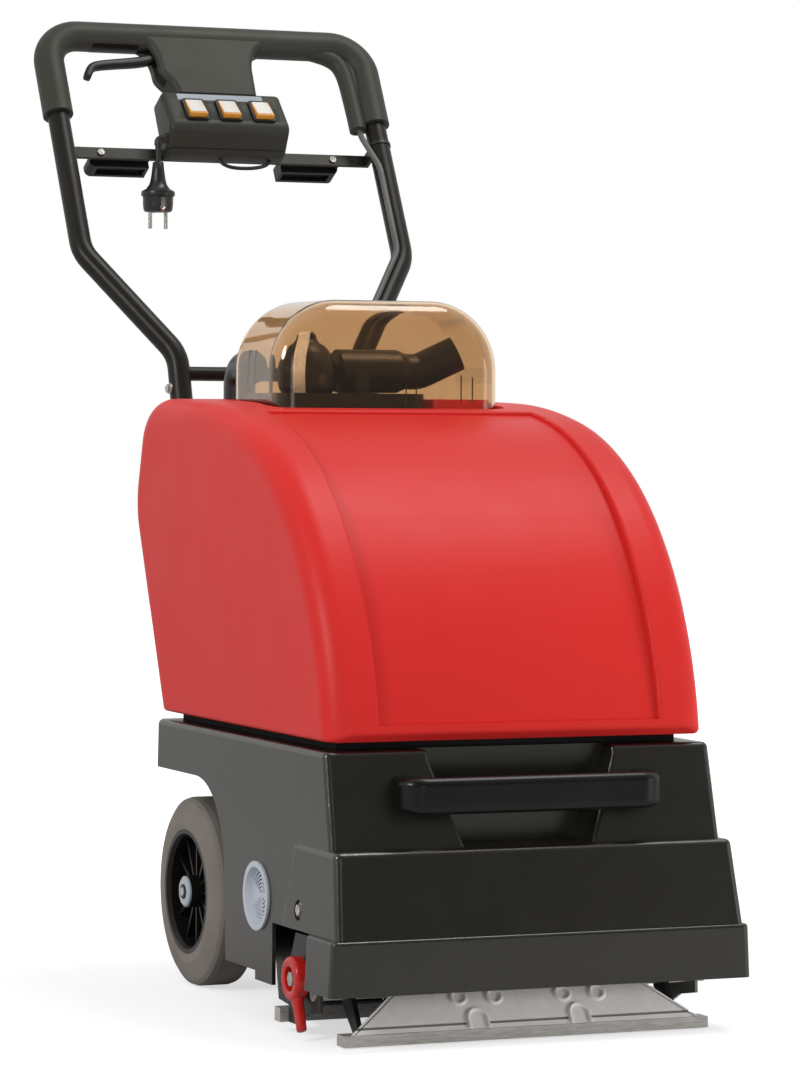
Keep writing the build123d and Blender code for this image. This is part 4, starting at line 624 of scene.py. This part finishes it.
MOUTH_SHARE, MOUTH_DEEP = 0.66, 0.008
spine = eased(np.array([(0.1120, 0.2850), (0.1320, 0.2825), (0.1510, 0.2775), (0.1640, 0.2690), (0.1698, 0.2560),
                        (0.1718, 0.2400), (0.1728, 0.2150), (0.1734, 0.1950), (0.1736, 0.1770), (0.1736, 0.1742)]))
line = HINGE + spine[:, :1] * X + spine[:, 1:] * LEAN
thick = np.interp(np.linspace(0, 1, len(line)), (0, 0.2, 0.55, 0.985, 1), (0.0086, 0.0107, 0.0103, 0.0103, 0.0097))
sleeve = ring_along(line, thick, FACE)
mouth = line[-1] + MOUTH_SHARE * (sleeve[-1:] - line[-1])
sleeve = np.concatenate([sleeve, mouth, mouth + MOUTH_DEEP * LEAN], 0)
skins("cable_sleeve", [capped(sleeve)], "handle", grip_grey)

# Cord hooks: two black arms that the mains lead is wound on when the machine is put away. They are mouldings bolted
# behind the crossbar.
hook_black = moulded("hook_black", (30, 29, 27), (24, 23, 21), 0.45, gloss=0.3)
dress(hook_black, "hook_left", "hook_right")

# Control box: dark grey moulding with well rounded edges, screwed to the neck of the grip. It has a sloping panel
# with a window for each switch, and a cover below that shows as a fine seam.
BOX_X, BOX_HALF, BOX_END, BOX_WALL, SEAM_S = 0.003, 0.074, 0.007, 0.0025, 0.1408
KEY_X = {"left": -0.036, "middle": 0.005, "right": 0.046}
WINDOW_X, WINDOW_RUN = 0.0111, 0.0148
SLOPE = np.array((55, -16)) / 57.28
SQUARE = np.array((16, 55)) / 57.28
RUN = SLOPE[0] * LEAN + SLOPE[1] * FACE
OUT = SQUARE[0] * LEAN + SQUARE[1] * FACE
PANEL_S, PANEL_N, SEAT_SINK = 0.1815, 0.020873, 0.000055
PANEL = HINGE + PANEL_S * LEAN + (PANEL_N - SEAT_SINK) * FACE
CORNERS = np.array([(0.136, -0.022), (0.136, -0.004), (0.157, 0.028), (0.212, 0.012), (0.212, -0.022)])
RADII = np.array((0.0070, 0.0110, 0.0130, 0.0050, 0.0070))
CORNER_STEPS, END_STEPS = 9, 8
box_grey = moulded("box_grey", (56, 56, 51), (50, 50, 45), 0.46, 1200, 0.00006, 0.2, sheen=WARM)
shaded(box_grey, ("VectorMath", dict(operation="SUBTRACT", _1=HINGE + SEAM_S * LEAN)),
       ("VectorMath", dict(operation="DOT_PRODUCT", _1=LEAN)), ("Math", dict(operation="ABSOLUTE")),
       ("MapRange", dict(From_Min=0.0003, From_Max=0.0007, To_Min=0.3, To_Max=1.0)))
# Each corner of the profile is an arc of its own radius, which shrinks where a rounded end draws the profile in.
along = np.roll(CORNERS, -1, 0) - CORNERS
along /= np.linalg.norm(along, axis=1, keepdims=True)
after = np.stack([-along[:, 1], along[:, 0]], -1)
before = np.roll(after, 1, 0)
centre = CORNERS - RADII[:, None] * (before + after) / (1 + (before * after).sum(1, keepdims=True))
blend = np.linspace(0, 1, CORNER_STEPS)[None, :, None]
way = (1 - blend) * before[:, None] + blend * after[:, None]
way /= np.linalg.norm(way, axis=2, keepdims=True)
turn = np.linspace(0, np.pi / 2, END_STEPS)
left = -BOX_HALF + BOX_END * (1 - np.sin(turn[::-1]))
slots = np.concatenate([[x - WINDOW_X, x + WINDOW_X] for x in KEY_X.values()]) - BOX_X
station = np.concatenate([left, slots, -left[::-1]])
drawn_in = BOX_END * (1 - np.concatenate([np.cos(turn[::-1]), 0 * slots + 1, np.cos(turn)]))
radius = np.maximum(RADII - drawn_in[:, None], 0)
arcs = (centre[:, None] + radius[..., None, None] * way).reshape(len(station), -1, 2)
sill = np.array((PANEL_S, PANEL_N)) + np.array([[-WINDOW_RUN], [WINDOW_RUN]]) * SLOPE
sill = sill[None] - drawn_in[:, None, None] * SQUARE
panel_foot = 3 * CORNER_STEPS
outline = np.concatenate([arcs[:, :panel_foot], sill, arcs[:, panel_foot:]], 1)
shell = HINGE + (station + BOX_X)[:, None, None] * X + outline[..., :1] * LEAN + outline[..., 1:] * FACE
open_cells = np.zeros((len(station) + 1, outline.shape[1]), bool)
open_cells[END_STEPS + 1:END_STEPS + 1 + len(slots):2, panel_foot] = True
box_shell = skins("box_shell", [capped(shell)], "handle", box_grey, 30, gaps=open_cells)
wall = box_shell.modifiers.new("wall", "SOLIDIFY")
wall.thickness = BOX_WALL
wall.offset = -1
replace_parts(box_shell, "control_box", "box_cover")

# Switch frames: black rims round the three keys, with rounded edges. They are the bodies of the switches, snapped
# into the windows of the panel.
frame_black = moulded("frame_black", (24, 23, 22), (16, 15, 14), 0.35, 700, 0.00003, 0.4)
section = ((0.0, -0.0005), (0.0, 0.0026), (0.0004, 0.0031), (0.0022, 0.0031), (0.0028, 0.0025), (0.0028, -0.0005))
rims = frames([PANEL + x * X for x in KEY_X.values()], X, RUN, OUT, WINDOW_X, 0.0150, 0.0012, section)
skins("switch_frames", rims, "handle", frame_black, ring=True)

# Label strip: a bare strip of pale foil, a little bluish, along the top of the switch panel. It is cut with small
# round corners and glued on.
STRIP_UP = 0.0229
foil = moulded("label_foil", (150, 157, 165), (134, 141, 149), 0.32, 500, 0.00001, 0.5, 30.0)
strip = frames([PANEL + STRIP_UP * RUN], X, RUN, OUT, 0.0525, 0.0050, 0.001, ((0, 0.00035), (0, -0.0003)))
skins("label_strip", [capped(strip[0])], "handle", foil)

# Rocker switches: clear amber keys with white faces, tilted so that their lower ends stand out of the panel. They
# are mouldings, each rocking on its own pin in its frame.
key_amber = moulded("key_amber", (226, 160, 62), (212, 142, 48), 0.2, 500, 0.00002)
key_white = moulded("key_white", (226, 222, 216), (214, 210, 203), 0.3, 500, 0.00001)
dress(key_amber, "rocker_left", "rocker_middle", "rocker_right")
place = np.array((-0.0112, -0.0110, -0.0055, 0.0, 0.0070, 0.0134, 0.0136))
height = np.interp(place, (-0.014, 0.014), (0.0085, 0.0032))
loop = np.array([(-0.0096, -0.0003), (0.0096, -0.0003), (0.0096, 0.0005), (0.0092, 0.0008), (-0.0092, 0.0008),
                 (-0.0096, 0.0005)])
for side, x in KEY_X.items():
    face = (PANEL + x * X + place[:, None, None] * RUN + (height[:, None, None] + loop[None, :, 1:]) * OUT
            + loop[None, :, :1] * X)
    skins(f"key_face_{side}", [capped(face)], f"key_{side}", key_white)

# Control cable: the wires from the box to the base in a grey plastic sheath. It comes out of the sleeve on the
# right grip and runs down the tube.
cable_grey = moulded("cable_grey", (96, 95, 92), (78, 77, 74), 0.5, 900, 0.00004)
dress(cable_grey, "control_cable")

# Cable tie: a black nylon band, pulled tight round the right tube beside the cable. It is one of the usual ties
# with its tail cut off.
TIE_S, TUBE_X = 0.153, 0.196
tie_black = moulded("tie_black", (22, 22, 21), (16, 16, 15), 0.4, 700, 0.00003)
band = ((0.0124, -0.0019), (0.0138, -0.0019), (0.0138, 0.0019), (0.0124, 0.0019))
tie = turned([HINGE + TIE_S * LEAN + TUBE_X * X], LEAN, X, band, 40)
skins("cable_tie", tie, "handle", tie_black, ring=True)

# Switch wire: a thin black wire that hangs in a loop below the control box. It is plastic covered, and both of its
# ends are held in the box's cover.
WIRE_RADIUS, WIRE_BACK = 0.0022, 0.012
sag = eased(np.array([(-0.0050, 0.1420), (-0.0030, 0.1330), (0.0040, 0.1275), (0.0146, 0.1250), (0.0330, 0.1250),
                      (0.0486, 0.1277), (0.0580, 0.1330), (0.0600, 0.1420)]), 2)
wire = HINGE + sag[:, :1] * X + sag[:, 1:] * LEAN - WIRE_BACK * FACE
wire = ring_along(wire, np.full(len(wire), WIRE_RADIUS), FACE, 12)
skins("switch_wire", [capped(wire)], "handle", tie_black)

# Plug: a black rubber body with a collar, moulded on the end of the lead. It has nickel plated pins, and an earth
# strip with an eye let into its front and its back.
DROP_X, DROP_Y, PLUG_TOP = -0.0815, 0.404142, 0.896127
EYE_OUT, EYE_DROP = 0.0174, 0.0528
plug_black = moulded("plug_black", (30, 29, 27), (22, 21, 19), 0.36, 700, 0.00004)
pin_nickel = worked_metal("pin_nickel", (214, 210, 202), (188, 183, 174), 0.22, 400, 0.00001)
dress(pin_nickel, "plug_pins")
body = np.array([(0, 0), (5.6, 0), (6.2, -0.6), (7.4, -12), (8.8, -21), (10.2, -26), (13.6, -31), (18.0, -33.4),
                 (19.3, -34.2), (19.5, -35), (19.5, -38.6), (19.0, -39.6), (17.8, -40), (17.5, -41), (17.4, -50),
                 (16.8, -54.6), (15.9, -56.8), (14, -57.8), (0, -58)]) / 1000
root = np.array((DROP_X, DROP_Y, PLUG_TOP))
plug = skins("plug_moulding", turned([root], Z, X, body, 48), "handle", plug_black)
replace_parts(plug, "plug_body")
fall = np.array([(17.2, -40.6), (17.9, -41.4), (17.8, -50), (17.2, -54.6), (16.3, -57.1), (15.0, -57.7)]) / 1000
face = np.array([(-2.5, -0.8), (2.5, -0.8), (2.5, 0.1), (-2.5, 0.1)]) / 1000
rim = ((0.0013, 0.0), (0.0013, 0.0006), (0.0018, 0.0010), (0.0027, 0.0009), (0.0031, 0.0004), (0.0031, 0.0))
sides = np.array((-1, 1))[:, None, None, None]
strips = root + face[:, :1] * X + sides * (fall[:, None, :1] + face[:, 1:]) * Y + fall[:, None, 1:] * Z
earth = skins("earth_strips", capped(strips), "handle", pin_nickel)
eyes = [turned([root + side * EYE_OUT * Y - EYE_DROP * Z], side * Y, X, rim, 20)[0] for side in (-1, 1)]
eyes = skins("earth_eyes", eyes, "handle", pin_nickel, ring=True)

# Mains lead: a black PVC cable with a tapered boot where it leaves the left end of the control box. It turns
# straight down into the moulded plug, which hangs from it.
LEAD_Z, LEAD_THICK = 0.924127, 0.0072
BOOT_FROM, BOOT_TO, BOOT_RINGS = 0.0042, 0.0252, 15
lead_black = moulded("lead_black", (32, 31, 29), (23, 22, 21), 0.42, 900, 0.00003)
route = [(-0.062, DROP_Y, LEAD_Z), (DROP_X, DROP_Y, LEAD_Z), (DROP_X, DROP_Y, 0.912127), (DROP_X, DROP_Y, PLUG_TOP)]
line = bpy.data.curves.new("mains_lead", "CURVE")
line.dimensions = "3D"
line.resolution_u = 16
run = line.splines.new("NURBS")
run.points.add(len(route) - 1)
run.points.foreach_set("co", [c for p in route for c in (*p, 1.0)])
run.order_u = 3
run.use_endpoint_u = True
mains_lead = bpy.data.objects.new("mains_lead", line)
scene.collection.objects.link(mains_lead)
drawn = bpy.data.meshes.new_from_object(mains_lead)
way = np.zeros(3 * len(drawn.vertices))
drawn.vertices.foreach_get("co", way)
way = way.reshape(-1, 3)
line.bevel_depth = LEAD_THICK / 2
line.bevel_resolution = 6
line.use_fill_caps = True
line.materials.append(lead_black)
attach(mains_lead, "handle")
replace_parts(mains_lead, "mains_cord")
walked = np.concatenate([[0], np.cumsum(np.linalg.norm(np.diff(way, axis=0), axis=1))])
at = np.linspace(BOOT_FROM, BOOT_TO, BOOT_RINGS)
thread = np.stack([np.interp(at, walked, way[:, k]) for k in range(3)], -1)
boot = ring_along(thread, np.linspace(0.0060, 0.0044, BOOT_RINGS), Y)
boot = skins("lead_boot", [capped(boot)], "handle", lead_black)
